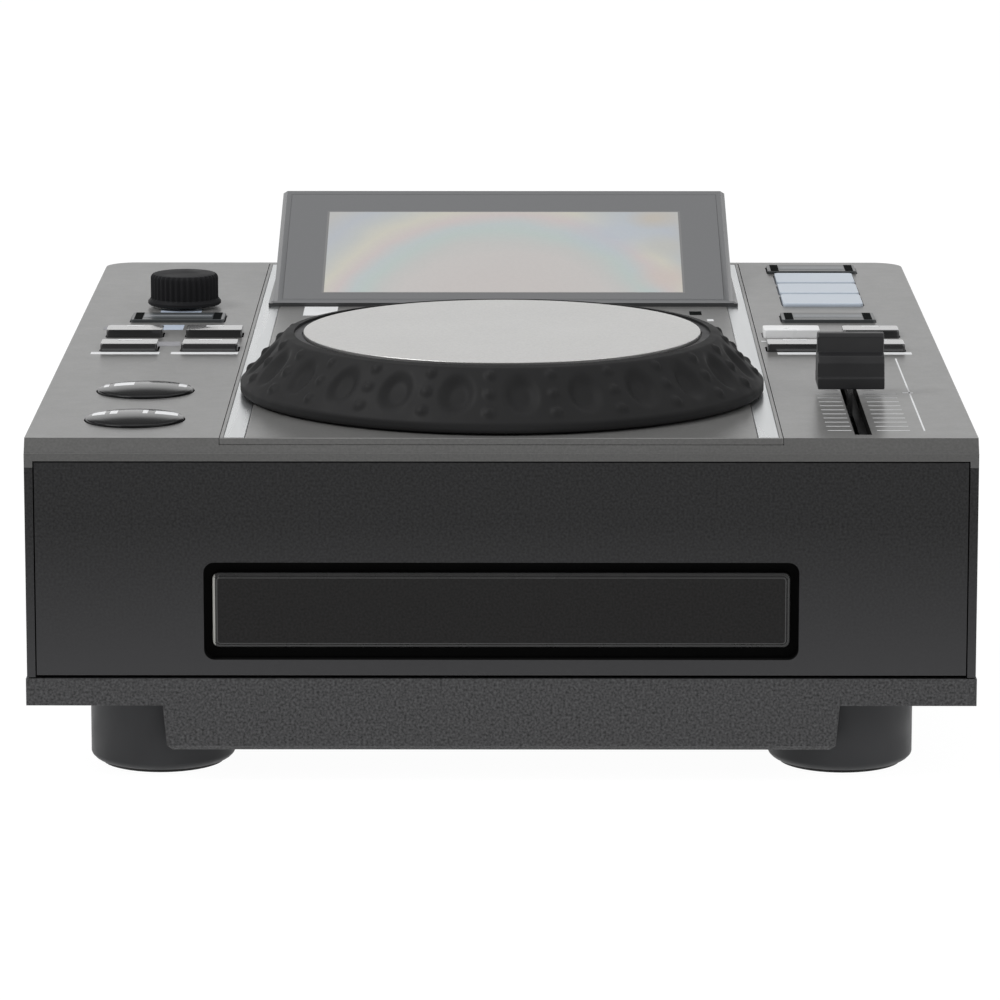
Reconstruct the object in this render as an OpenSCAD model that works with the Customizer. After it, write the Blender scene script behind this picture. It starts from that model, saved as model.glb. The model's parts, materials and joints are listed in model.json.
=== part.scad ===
// Tabletop disc player with a jog wheel, a tilted display, a pitch fader and a motorised disc tray.
// Lengths are in millimetres. +Z is up and the front faces -Y. The origin is the middle of the
// bounding box's bottom face. A depth is counted backwards from the front panel's face.

/* [Case] */
// Width of the top cover
body_w = 222; // [216:1:236]
// Depth from the front panel's face to the rear wall's face
body_d = 280; // [278:1:300]
// Height of the deck above the table
deck_h = 82; // [80:1:92]
// Thickness of the deck
deck_t = 3; // [2.6:0.1:3.4]
// Thickness of the cover's side and rear walls
wall_t = 2; // [1.6:0.1:2.4]
// Radius of the rear corners
corner_r = 8; // [5:0.5:10]
// Height of the cover's lip over the front panel
lip_h = 5.1; // [4.6:0.1:6]
// Depth of the cover's lip behind the front
lip_d = 6; // [5:0.5:7]
// Height of the chamfer along the deck's front edge
chamfer_h = 3.3; // [2:0.1:4]
// Depth of the chamfer along the deck's front edge
chamfer_d = 2.6; // [2:0.1:4]
// Thickness of the front panel
panel_t = 2.4; // [1.8:0.1:2.6]
// Gap between the case's mouldings
seam = 0.3; // [0.2:0.05:0.5]

/* [Base] */
// Height of the base's upper edge above the table
base_top = 25.2; // [24.6:0.2:26]
// Height of the base's outer underside above the table
skirt_z = 18.7; // [18.3:0.1:19.1]
// How far the base stands proud of the cover on each side
base_proud = 0.3; // [0.1:0.1:0.6]
// Height of the dark seam between the base and the front panel
base_seam = 0.8; // [0.4:0.1:1]
// Thickness of the base's floor and walls
floor_t = 2.4; // [2:0.1:2.6]
// Distance of the belly's sides from the cover's sides
belly_inset = 31.7; // [30:0.1:33]
// Distance of the belly's rear end from the cover's rear
belly_back = 8; // [6:1:12]
// Height of the belly's underside above the table
belly_z = 7.9; // [7:0.1:8.6]
// How far the belly's sides lean in
belly_slant = 0.9; // [0.4:0.1:1.4]
// Size of the bevel along the belly's lower edges
belly_edge = 1.2; // [0.6:0.1:1.6]
// Radius of a foot
foot_r = 17.2; // [16:0.1:18]
// Distance of the feet's centres from the cover's sides
foot_inset = 30.2; // [29:0.1:32]
// Depth of the front feet's centres
foot_front = 25.2; // [23:0.1:27]
// Distance of the rear feet's centres from the cover's rear
foot_back = 32; // [30:1:38]
// Clearance around a foot in the belly's pocket
foot_gap = 1.2; // [0.6:0.1:2]

/* [Deck] */
// Width of the deck beside the centre panel
deck_side = 45.3; // [45:0.1:46.5]
// Thickness of the centre panel
centre_t = 1.5; // [1.2:0.1:1.6]
// Width of a trim strip
strip_w = 5; // [4:0.1:5.4]
// Distance of a strip's outer edge from the centre panel's edge
strip_inset = 1; // [0.8:0.1:1.6]
// Thickness of a trim strip
strip_t = 0.6; // [0.4:0.1:0.8]

/* [Display] */
// Width of the display housing
display_w = 123; // [120:0.5:126]
// Length of the display housing along its slope
display_len = 76.5; // [74:0.5:78]
// Distance of the display housing's front edge from the cover's rear
display_back = 80; // [79.5:0.5:84]
// Height of that edge above the deck
display_lift = 1; // [0.9:0.1:2]
// Tilt of the display
display_tilt = 15.2; // [12:0.1:16]
// Size of the bevel along the display's side edges
display_bevel = 1.2; // [0.6:0.1:1.6]
// How far the housing's foot stands out on each side
display_foot = 1.1; // [0.6:0.1:1.4]
// Thickness of the cover glass
glass_t = 1.2; // [1:0.1:1.3]
// Margin of the housing around the glass
glass_rim = 2.5; // [2.2:0.1:3]
// Width of the display module
lcd_w = 105.5; // [100:0.5:108]
// Length of the display module
lcd_len = 67.2; // [62:0.2:68]
// Thickness of the display module
lcd_t = 3; // [2.4:0.1:3.6]
// Distance of the module's lower edge from the housing's front edge
lcd_inset = 3; // [2.8:0.1:3.6]

/* [Jog wheel] */
// Depth of the jog wheel's axis
jog_depth = 68.5; // [67.5:0.1:70]
// Largest radius of the jog wheel
jog_r = 63.75; // [60:0.25:64.5]
// Width of the ring's shoulder around the plate
jog_rim = 4.7; // [4:0.1:6]
// Radius of the ring's upper shoulder
jog_shoulder_r = 53; // [51.5:0.1:54]
// Height of the plate above the deck
jog_h = 14.8; // [14:0.1:17]
// Gap between the jog wheel and the deck
jog_gap = 0.5; // [0.4:0.1:1]
// Height of the upright band at the ring's foot
jog_band = 2.3; // [2:0.1:3]
// Thickness of the jog plate
jog_plate_t = 1.2; // [1:0.1:1.6]
// Thickness of the rubber ring
jog_skin = 3; // [2.6:0.1:3.4]
// Number of finger dimples
jog_dimples = 24; // [16:1:30]
// Radius of a dimple's hollow
dimple_r = 8; // [6:0.5:9]
// Depth of a dimple
dimple_depth = 1.2; // [0.8:0.1:1.4]
// Length of a dimple down the slope
dimple_len = 10.6; // [8:0.1:11.4]
// Radius of the jog wheel's shaft
jog_shaft_r = 4; // [3:0.5:5]

/* [Buttons] */
// Distance of the inner keys' centres from the cover's sides
key_inset_inner = 36.5; // [36:0.1:37]
// Distance of the outer keys' centres from the cover's sides
key_inset_outer = 16; // [15.8:0.1:16.5]
// Distance of the front row of keys' centres behind the fader's slot
key_lead = 11; // [10:0.5:14]
// Distance between the two rows of keys
key_pitch = 22.3; // [21:0.1:24]
// Width of a key
key_w = 14.5; // [12:0.1:15]
// Depth of a key
key_d = 8; // [6:0.1:9]
// Height of a key above the deck
key_h = 2; // [1.6:0.1:3]
// Distance of the slim keys' and pads' centres from the cover's sides
column_inset = 25.6; // [25.4:0.1:26.4]
// Width of a slim key
slim_w = 24.5; // [22:0.1:25]
// Depth of a slim key
slim_d = 12; // [10:0.1:12.4]
// Height of a slim key above the deck
slim_h = 0.8; // [0.8:0.1:1.6]
// Place of the front slim keys between the keys and the pads
slim_share = 0.51; // [0.4:0.01:0.6]
// Distance of the rear slim key's centre from the cover's rear
slim_back = 15.5; // [15:0.1:16]
// Width of a pad
pad_w = 21.4; // [20:0.1:24]
// Depth of a pad
pad_d = 16.8; // [15:0.1:17.2]
// Height of a pad above the deck
pad_h = 0.8; // [0.8:0.1:1.6]
// Gap between the pads and the slim key behind them
pad_lead = 3.1; // [2.4:0.1:4]
// Gap between the pads
pad_space = 2.2; // [2.2:0.1:3]
// Radius of the cue and play buttons
round_r = 11.7; // [10.5:0.1:12.2]
// Height of the cue and play buttons above the deck
round_h = 1.5; // [1.2:0.1:2.5]
// Rise of their domed tops
dome_h = 0.9; // [0.6:0.1:1.1]
// Distance of the cue and play buttons' centres from the cover's sides
round_inset = 24.1; // [23.6:0.1:25.5]
// Depth of the play button's centre
play_depth = 27; // [26:0.5:28]
// Depth of the cue button's centre
cue_depth = 67; // [66:0.5:68]
// Clearance around a button in the deck
key_gap = 0.3; // [0.2:0.05:0.5]
// Travel of a button
key_travel = 0.8; // [0.5:0.1:1]

/* [Selector] */
// Distance of the selector's axis from the cover's side
select_inset = 26; // [24:0.5:28]
// Distance of the selector's axis from the cover's rear
select_back = 80; // [77:0.5:83]
// Largest radius of the selector knob
knob_r = 9.7; // [9.4:0.1:10.5]
// Radius of the knob's top
knob_top_r = 9; // [7.5:0.1:9.1]
// Height of the knob
knob_h = 8.2; // [7.5:0.1:11]
// Gap between the knob and the deck
knob_gap = 0.8; // [0.7:0.1:1.5]
// Radius of the selector's shaft
select_shaft_r = 3; // [2.5:0.1:3]

/* [Pitch fader] */
// Distance of the fader from the cover's side
fader_inset = 26.5; // [25.5:0.1:27]
// Depth of the fader slot's front end
slot_front = 7; // [6.6:0.1:8]
// Travel of the fader
fader_travel = 100; // [90:1:101]
// Width of the fader's slot
slot_w = 4; // [3:0.1:5]
// Width of the fader cap
cap_w = 16.1; // [14:0.1:18]
// Depth of the fader cap
cap_d = 13; // [11:0.1:14]
// Height of the fader cap
cap_h = 13; // [12:0.1:14]
// Height of the lip around the cap's foot
cap_lip = 2.7; // [2:0.1:3.4]
// Height of the cap's grip above its slopes
grip_h = 4.5; // [3.6:0.1:5]
// Thickness of that grip
grip_t = 4.2; // [3.4:0.1:5]
// Gap between the cap and the deck
cap_gap = 2.2; // [1:0.1:4]
// Thickness of the fader's lever
lever_t = 1.2; // [1:0.1:1.5]
// Width of the fader's lever
lever_w = 4; // [3:0.1:5]

/* [Disc loader] */
// Height of the tray door's middle above the table
door_z = 41.3; // [41:0.1:41.8]
// Reach of the door beyond the tray on each side
door_side = 4.5; // [4:0.1:5]
// Height of the tray door
door_h = 17.8; // [16:0.1:19]
// Thickness of the tray door
door_t = 3.2; // [2.6:0.1:3.4]
// How far the door is set back
door_back = 0.6; // [0.4:0.1:1.5]
// Gap beside the tray door
door_gap_side = 2; // [1.6:0.1:2.4]
// Gap above and below the tray door
door_gap_top = 2.7; // [2:0.1:3]
// Corner radius of that opening
opening_r = 2.5; // [1.5:0.1:4]
// Radius of the disc's well
well_r = 61; // [60.5:0.1:61.4]
// Width of the tray between its door and the well
tray_front = 7.2; // [6:0.1:8]
// Width of the tray beside the well
tray_rim = 2; // [1.6:0.1:2.4]
// Thickness of the tray
tray_t = 4.5; // [4.2:0.1:4.8]
// Depth of the well
well_t = 2.3; // [2:0.1:2.5]
// Length of the tray behind the well
tray_back = 23.5; // [22.5:0.5:24]
// Reach of the tray's rails
rail_reach = 3.4; // [2.5:0.1:3.6]
// Thickness of the tray's rails
rail_t = 3; // [2:0.1:3.2]
// Half the width of the slot in the tray
slot_half = 24; // [23.5:0.1:24.5]
// Module of the rack and its gear
rack_module = 1.2; // [1.15:0.01:1.25]
// Teeth of the loading gear
gear_teeth = 14; // [14:1:15]
// Radius of the loading pulley
pulley_r = 10; // [9:0.1:10.4]
// Radius of the motor pulley
motor_pulley_r = 3.5; // [3:0.1:4]
// Distance of the rack's pitch line from the tray's side
rack_inset = 7; // [6.8:0.1:7.4]
// Depth of the loading gear's axis
gear_depth = 18; // [17.5:0.1:18.5]
// Radius of the turntable
turntable_r = 15; // [14:0.1:15.5]
// Radius of the disc's centre hole that the hub fills
hub_r = 7.4; // [7:0.05:7.45]
// Radius of the clamp's body
clamp_r = 12.6; // [12:0.1:14]
// Radius of the pickup's rod and screw
rod_r = 1.5; // [1.2:0.1:1.8]
// Distance of the rod and screw from the middle plane
rod_x = 26.5; // [26.3:0.1:27]
// Travel of the pickup sled
sled_travel = 35; // [30:0.5:35.4]

/* [Rear] */
// How far the sockets stand out of the rear wall
socket_reach = 8; // [6:0.5:10]
// Radius of a line socket's barrel
socket_r = 4.15; // [4.1:0.05:4.2]
// Height of the line sockets above the table
socket_z = 46; // [45:0.5:48]
// Radius of a line socket's collar in the rear panel
socket_collar_r = 5.4; // [4.8:0.1:6]
// Distance between the line sockets
socket_pitch = 18; // [15:0.5:20]
// Distance of the power jack from the cover's side
jack_inset = 53; // [49:1:59]
// Radius of the power jack's bore
jack_bore_r = 2.85; // [2.6:0.05:3.2]
// Distance of the power switch from the cover's side
switch_inset = 31; // [29:0.5:33]
// Radius of a screw's shank
screw_r = 1.5; // [1.2:0.1:1.6]

/* [Hidden] */
$fn = 64;
over = 1;
fit = 0.02;
running = 0.06;
half_w = body_w / 2;
overall_d = body_d + socket_reach;
front_y = -overall_d / 2;
deck_under = deck_h - deck_t;
lip_z = deck_h - lip_h;
panel_half = half_w - wall_t - seam;
panel_bottom = base_top + base_seam;
base_half = half_w + base_proud;
base_floor = skirt_z + floor_t;
belly_floor = belly_z + floor_t;
belly_half = half_w - belly_inset;
belly_d = body_d - belly_back;
foot_x = half_w - foot_inset;
foot_rear = body_d - foot_back;
centre_half = half_w - deck_side;
shelf_z = deck_h - centre_t;
jog_top = deck_h + jog_h;
jog_foot = deck_h + jog_gap;
jog_plate_r = jog_shoulder_r - jog_rim;
display_front = body_d - display_back;
display_flat = display_len * cos(display_tilt);
display_rise = display_len * sin(display_tilt);

// Opening under the display: its clearance beside the module and the ledge that the housing rests on
window_gap = 0.5;
window_edge = 2.5;
display_foot_h = 0.9;

// The well behind the display module: its margin beside the module and at its lower and upper ends
well_side = 1;
well_low = 16;
well_high = 3;

// Angle of the first dimple
dimple_turn = 4.7;

// Jog wheel's bearing: its tube, flange and screw circle, and the hub and shaft that turn in it
bearing_r = 9;
bearing_drop = 14;
bearing_rise = 6;
flange_r = 34;
flange_h = 3;
flange_screws = [for (a = [45:90:315]) [27 * cos(a), jog_depth + 27 * sin(a)]];
deck_hole_r = bearing_r + 3;
hub_z = deck_h + bearing_rise + 0.6;
carrier_top = jog_top - jog_plate_t;
shaft_top = carrier_top - 3.6;
encoder_z = deck_under - 18;

// Buttons: their flange under the deck, their stem and the switches below
flange_t = 1;
flange_w = 0.9;
stem_r = 1.6;
board_t = 1.6;
board_top = deck_under - 12;
switch_s = 6;
switch_h = 4.3;
switch_well = key_travel + 0.8;
dome_r = (round_r * round_r + dome_h * dome_h) / (2 * dome_h);
stem_z = board_top + switch_h + key_gap;

// Places of the controls on the deck
key_inner = half_w - key_inset_inner;
key_outer = half_w - key_inset_outer;
column_x = half_w - column_inset;
round_x = half_w - round_inset;
select_x = half_w - select_inset;
select_depth = body_d - select_back;
fader_x = half_w - fader_inset;
slot_len = fader_travel + 12;
fader_depth = slot_front + slot_len / 2;
key_row = slot_front + slot_len + key_lead;
pad_pitch = pad_d + pad_space;
slim_rear = body_d - slim_back;
pad_row = slim_rear - slim_d / 2 - pad_lead - pad_d / 2 - 2 * pad_pitch;
key_rows_end = key_row + key_pitch + key_d / 2;
slim_row = key_rows_end + slim_share * (pad_row - pad_d / 2 - key_rows_end);

// Key boards: [x, depth, width, length], and the bosses that they hang from: [x, depth]
board_side = 12.5;
board_w = 33.5;
board_inner = half_w - board_side - board_w;
left_front = play_depth - 15;
right_front = key_row - 8;
left_board = [board_side - half_w, left_front, board_w, select_depth + 11.5 - left_front];
right_board = [board_inner, right_front, board_w, slim_rear + 5.6 - right_front];
boss_r = 3;
boss_x = board_inner + boss_r + 0.5;
left_bosses = [[-boss_x, (play_depth + cue_depth) / 2], [-key_outer, key_row - 22], [-boss_x, select_depth - 13.5]];
right_bosses = [
    [column_x, key_row + key_pitch / 2], [boss_x, pad_row - pad_d / 2 - 9.5], [boss_x, slim_rear - slim_d / 2 - 5.5]
];

// Every button in the deck: [x, depth, width, depth of the button, height, corner radius]
left_keys = [
    [-key_outer, key_row, key_w, key_d, key_h, 0.8],
    [-key_inner, key_row, key_w, key_d, key_h, 0.8],
    [-key_outer, key_row + key_pitch, key_w, key_d, key_h, 0.8],
    [-key_inner, key_row + key_pitch, key_w, key_d, key_h, 0.8],
    [-column_x, slim_row, slim_w, slim_d, slim_h, 0.8],
    [-round_x, play_depth, 2 * round_r, 2 * round_r, round_h, round_r],
    [-round_x, cue_depth, 2 * round_r, 2 * round_r, round_h, round_r]
];
right_keys = [
    [key_inner, key_row, key_w, key_d, key_h, 0.8],
    [key_outer, key_row, key_w, key_d, key_h, 0.8],
    [key_inner, key_row + key_pitch, key_w, key_d, key_h, 0.8],
    [key_outer, key_row + key_pitch, key_w, key_d, key_h, 0.8],
    [column_x, slim_row, slim_w, slim_d, slim_h, 0.8],
    [column_x, pad_row, pad_w, pad_d, pad_h, 1.2],
    [column_x, pad_row + pad_pitch, pad_w, pad_d, pad_h, 1.2],
    [column_x, pad_row + 2 * pad_pitch, pad_w, pad_d, pad_h, 1.2],
    [column_x, slim_rear, slim_w, slim_d, slim_h, 0.8]
];

// Selector's bush, and the cover's posts: [x, depth]
select_neck_r = select_shaft_r + 0.6;
post_r = 4;
cover_posts = [for (s = [-1, 1], d = [52, body_d - 27]) [s * (half_w - 8), d]];

// Rear panel
rear_t = 1.4;
rear_in = body_d - wall_t - rear_t;
rear_half = half_w - 9;
rear_low = base_floor + seam;
rear_high = deck_under - 4.6;
rear_screws = [for (s = [-1, 1], z = [rear_low + 16.6, rear_high - 8.4]) [s * (rear_half - 4), z]];
socket_xs = [for (i = [0:2]) 35 - half_w + i * socket_pitch];
socket_collar_t = rear_t + 0.6;
jack_x = half_w - jack_inset;
jack_r = jack_bore_r + 1.55;
switch_x = half_w - switch_inset;
main_z = 34;
main_half = half_w - 19;
main_end = body_d - 6;
switch_z = 48;
rocker_depth = rear_in - 2;
rocker_pin_r = 1;

// Fader
fader_z = deck_under - 13;
fader_body_h = 10;
fader_body_w = 14;
fader_half = fader_travel / 2 + 5;
fader_ears = [for (s = [-1, 1]) [fader_x - fader_body_w / 2 - 5, fader_depth + s * (fader_half - 9)]];

// Disc loader: heights counted up from the tray's underside, places from the disc's centre
tray_z = door_z - 0.9;
well_z = tray_z + tray_t - well_t;
tray_half = well_r + tray_rim;
tray_w = 2 * tray_half;
door_w = tray_w + 2 * door_side;
opening_w = door_w + 2 * door_gap_side;
opening_h = door_h + 2 * door_gap_top;
recess_t = 1.2;
recess_end = door_back + door_t + 0.4 + recess_t;
tray_gap = 0.4;
disc_depth = door_back + door_t + tray_front + well_r;
tray_end = disc_depth + well_r + tray_back;
rail_z = tray_z + 0.2;
chassis_z = tray_z - 15;
chassis_t = 2;
chassis_top = tray_z + tray_t + 2;
chassis_out = tray_half + 7;
chassis_front = 8;
traverse_top = tray_z - 6;
traverse_t = 3;
traverse_half = 37;
traverse_front = disc_depth - 20;
sled_front = disc_depth + 17;
sled_len = 29;
sled_half = slot_half - 2.6;
lug_half = rod_x + 3.1;
rod_z = tray_z - 2.7;
rod_front = sled_front - 7;
rod_end = sled_front + sled_len + sled_travel + 5;
hinge_depth = rod_end + 28;
hinge_z = tray_z - 7;
trunnion_r = 2;
chassis_end = hinge_depth + 6;
chassis_posts = [for (s = [-1, 1], d = [disc_depth - 14, disc_depth + 78]) [s * (chassis_out - 10), d]];
main_front = chassis_end + 6;
board_posts = [for (s = [-1, 1], d = [main_front + 8, main_end - 12]) [s * 50, d]];
rack_x = tray_half - rack_inset;
rack_h = 4.4;
rack_w = 4;
rack_tip = 0.75 * rack_module;
gear_r = rack_module * gear_teeth / 2;
gear_x = -rack_x + gear_r;
motor_x = gear_x + 39.6;
gear_z = tray_z - 4.6;
gear_t = 4.2;
belt_z = tray_z - 9;
belt_t = 1.2;

// A box given by its lowest corner and its size
module block(x, y, z, w, d, h) {
    translate([x, front_y + y, z]) cube([w, d, h]);
}

// A box centred on x and y, with its bottom at z
module slab(x, y, z, w, d, h) {
    block(x - w / 2, y - d / 2, z, w, d, h);
}

// An upright cylinder with its bottom at z
module post(x, y, z, r, h) {
    translate([x, front_y + y, z]) cylinder(r = r, h = h);
}

// A cylinder along Y, starting at depth y
module rod_y(x, y, z, r, len) {
    translate([x, front_y + y, z]) rotate([-90, 0, 0]) cylinder(r = r, h = len);
}

// A cylinder along X, starting at x
module rod_x(x, y, z, r, len) {
    translate([x, front_y + y, z]) rotate([0, 90, 0]) cylinder(r = r, h = len);
}

// A flat outline with rounded corners, centred
module round_rect(w, d, r) {
    square([w - 2 * r, d], center = true);
    square([w, d - 2 * r], center = true);
    for (x = [-1, 1], y = [-1, 1]) translate([x * (w / 2 - r), y * (d / 2 - r)]) circle(r);
}

// An upright prism with rounded corners, or a cylinder where the radius fills it
module pill(x, y, z, w, d, h, r) {
    if (2 * r >= w) post(x, y, z, r, h);
    else translate([x, front_y + y, z]) linear_extrude(h) round_rect(w, d, r);
}

// The case's plan from the front, with square front corners and rounded rear ones
module plan(half, depth, r) {
    translate([-half, 0]) square([2 * half, depth - r]);
    translate([-half + r, 0]) square([2 * (half - r), depth]);
    for (s = [-1, 1]) translate([s * (half - r), depth - r]) circle(r);
}

// The cut that gives the deck its front chamfer
module front_chamfer() {
    translate([-half_w - over, front_y, deck_h]) rotate([90, 0, 90]) linear_extrude(body_w + 2 * over)
        polygon([[-over, over], [-over, -chamfer_h], [0.3, -chamfer_h], [chamfer_d, 0], [chamfer_d, over]]);
}

// Places things on the display's slope: x across, y up the slope, z out of the glass
module on_display() {
    translate([0, front_y + display_front, deck_h + display_lift]) rotate([display_tilt, 0, 0]) children();
}

// A screw along +Z with its head below, or along -Y with its head outside
module screw_up(x, y, z, len) {
    post(x, y, z - 1.3, 1.8 * screw_r, 1.3);
    post(x, y, z, screw_r, len);
}

// ---------------------------------------------------------------- case

// The opening in the deck under the display, for the module's back and its ribbon
module display_window() {
    block(-lcd_w / 2 - window_gap, display_front + window_edge, deck_under - over, lcd_w + 2 * window_gap,
        display_flat - 2 * window_edge, deck_t + 2 * over);
}

module key_hole(k) {
    pill(k[0], k[1], deck_under - over, k[2] + 2 * key_gap, k[3] + 2 * key_gap, deck_t + 2 * over, k[5] + key_gap);
}

module top_cover() {
    color("#3a3c3f") difference() {
        union() {
            difference() {
                translate([0, front_y, base_top + seam]) linear_extrude(deck_h - base_top - seam)
                    plan(half_w, body_d, corner_r);
                translate([0, front_y - over, base_top - over]) linear_extrude(deck_under - base_top + over)
                    plan(half_w - wall_t, body_d - wall_t + over, corner_r - wall_t);
            }
            block(-half_w + wall_t, 0, lip_z, body_w - 2 * wall_t, lip_d, deck_under - lip_z);
            for (p = cover_posts) post(p[0], p[1], base_floor + seam, post_r, deck_under - base_floor - seam);
            for (p = left_bosses) post(p[0], p[1], board_top, boss_r, deck_under - board_top);
            for (p = right_bosses) post(p[0], p[1], board_top, boss_r, deck_under - board_top);
            for (p = fader_ears) post(p[0], p[1], fader_z + fader_body_h, boss_r, deck_under - fader_z - fader_body_h);
        }
        front_chamfer();
        block(-centre_half, -over, shelf_z, 2 * centre_half, body_d - 3 + over, centre_t + over);
        block(-rear_half + 8, body_d - wall_t - over, base_top, 2 * (rear_half - 8), wall_t + 2 * over,
            rear_high - 2.2 - base_top);
        for (p = rear_screws) rod_y(p[0], body_d - wall_t - over, p[1], screw_r + 0.2, wall_t + 2 * over);
        post(0, jog_depth, deck_under - over, deck_hole_r, deck_t);
        display_window();
        for (k = left_keys) key_hole(k);
        for (k = right_keys) key_hole(k);
        post(-select_x, select_depth, deck_under - over, select_neck_r + 0.2, deck_t + 2 * over);
        slab(fader_x, fader_depth, deck_under - over, slot_w, slot_len, deck_t + 2 * over);
        for (p = cover_posts) post(p[0], p[1], base_floor, screw_r + fit, 14);
        for (p = left_bosses) post(p[0], p[1], board_top - over, screw_r + fit, 7);
        for (p = right_bosses) post(p[0], p[1], board_top - over, screw_r + fit, 7);
        for (p = fader_ears) post(p[0], p[1], fader_z + fader_body_h - over, screw_r + fit, 4.6);
        for (p = flange_screws) post(p[0], p[1], deck_under - over, screw_r + fit, over + 1);
    }
}

// The panel let into the deck, with grooves for the trim strips
module centre_panel() {
    color("#4a4c4f") difference() {
        block(-centre_half + 0.1, 0, shelf_z, 2 * (centre_half - 0.1), body_d - 3.2, centre_t);
        front_chamfer();
        for (s = [-1, 1]) trim_groove(s, strip_w, strip_t + over);
        post(0, jog_depth, shelf_z - over, deck_hole_r, centre_t + 2 * over);
        display_window();
    }
}

module trim_groove(side, w, h) {
    x = side * (centre_half - strip_inset - strip_w / 2);
    block(x - w / 2, chamfer_d + 0.4, deck_h - strip_t, w, body_d - chamfer_d - 4.4, h);
}

module trim_strips() {
    color("#d8dade") for (s = [-1, 1]) trim_groove(s, strip_w - 0.1, strip_t);
}

module front_panel() {
    color("#303234") difference() {
        union() {
            block(-panel_half, 0, panel_bottom, 2 * panel_half, panel_t, lip_z - seam - panel_bottom);
            for (s = [-1, 1]) block(s * (panel_half - 12.7) - 1, panel_t, panel_bottom + 8, 2, 4, 34);
        }
        door_shape(-over, opening_w, opening_h, panel_t + 2 * over, opening_r);
    }
    color("#303234") door_recess();
}

// A plate parallel to the front, centred on the tray door's middle
module door_shape(y, w, h, t, r) {
    translate([0, front_y + y, door_z]) rotate([-90, 0, 0]) linear_extrude(t) round_rect(w, h, r);
}

// The tray around the door's opening, with the slot that the disc tray and its rack run through
module door_recess() {
    difference() {
        door_shape(panel_t - fit, opening_w + 2 * recess_t, opening_h + 2 * recess_t, recess_end - panel_t + fit,
            opening_r + recess_t);
        door_shape(0, opening_w, opening_h, recess_end - recess_t, opening_r);
        block(-tray_half - rail_reach - tray_gap, 0, tray_z - tray_gap, tray_w + 2 * (rail_reach + tray_gap),
            recess_end + over, tray_t + 2 * tray_gap);
        block(-rack_x - rack_w - tray_gap, 0, tray_z - rack_h - tray_gap, rack_w + rack_tip + 2 * tray_gap,
            recess_end + over, rack_h + tray_gap);
    }
}

module belly_outline() {
    polygon([
        [-belly_half, skirt_z + floor_t], [-belly_half, skirt_z], [-belly_half + belly_slant, belly_z + belly_edge],
        [-belly_half + belly_slant + belly_edge, belly_z], [belly_half - belly_slant - belly_edge, belly_z],
        [belly_half - belly_slant, belly_z + belly_edge], [belly_half, skirt_z], [belly_half, skirt_z + floor_t]
    ]);
}

module foot_pockets(r, top) {
    for (s = [-1, 1], d = [foot_front, foot_rear]) post(s * foot_x, d, -over, r, top + over);
}

module base_pan() {
    color("#47494c") difference() {
        union() {
            difference() {
                union() {
                    translate([0, front_y, skirt_z]) linear_extrude(base_top - skirt_z)
                        plan(base_half, body_d + base_proud, corner_r);
                    translate([0, front_y + belly_d, 0]) rotate([90, 0, 0]) linear_extrude(belly_d) belly_outline();
                }
                translate([0, front_y + floor_t, base_floor]) linear_extrude(base_top)
                    plan(base_half - floor_t, body_d - wall_t + 0.1 - floor_t, corner_r - floor_t);
                difference() {
                    block(-belly_half + floor_t, floor_t, belly_floor,
                        2 * (belly_half - floor_t), belly_d - 2 * floor_t, base_top);
                    foot_pockets(foot_r + foot_gap + floor_t, base_floor);
                }
                foot_pockets(foot_r + foot_gap, skirt_z);
            }
            for (p = chassis_posts) post(p[0], p[1], belly_floor, post_r, chassis_z - belly_floor);
            for (p = board_posts) post(p[0], p[1], belly_floor, 3.2, main_z - belly_floor);
        }
        for (p = cover_posts) {
            post(p[0], p[1], skirt_z - over, screw_r + 0.2, floor_t + 2 * over);
            post(p[0], p[1], skirt_z - over, 2.1 * screw_r, over + 1.3);
        }
        for (p = chassis_posts) post(p[0], p[1], chassis_z - 7, screw_r + fit, 7 + over);
        for (p = board_posts) post(p[0], p[1], main_z - 6, screw_r + fit, 6 + over);
        for (i = [-4:4]) slab(i * 7, disc_depth + 38, belly_z - over, 3, 34, floor_t + 2 * over);
        translate([-belly_half, front_y, belly_z]) rotate([90, 0, 90]) linear_extrude(2 * belly_half)
            polygon([[-over, -over], [belly_edge + over, -over], [-over, belly_edge + over]]);
    }
}

module rear_panel() {
    color("#2a2b2d") difference() {
        block(-rear_half, rear_in, rear_low, 2 * rear_half, rear_t, rear_high - rear_low);
        for (x = socket_xs) rod_y(x, rear_in - over, socket_z, socket_collar_r + 0.2, rear_t + 2 * over);
        rod_y(jack_x, rear_in - over, main_z + 8, jack_r + 0.2, rear_t + 2 * over);
        block(switch_x - 6.6, rear_in - over, switch_z - 9.8, 13.2, rear_t + 2 * over, 19.6);
        for (p = rear_screws) rod_y(p[0], rear_in - over, p[1], screw_r + fit, rear_t + 2 * over);
    }
}

module feet() {
    color("#3c3d40") for (s = [-1, 1], d = [foot_front, foot_rear]) translate([s * foot_x, front_y + d, 0])
        rotate_extrude() polygon([
            [0, 0], [foot_r - 2.6, 0], [foot_r - 2.2, 0.9], [foot_r - 1.2, 1], [foot_r, 2.2], [foot_r, skirt_z],
            [0, skirt_z]
        ]);
}

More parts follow.
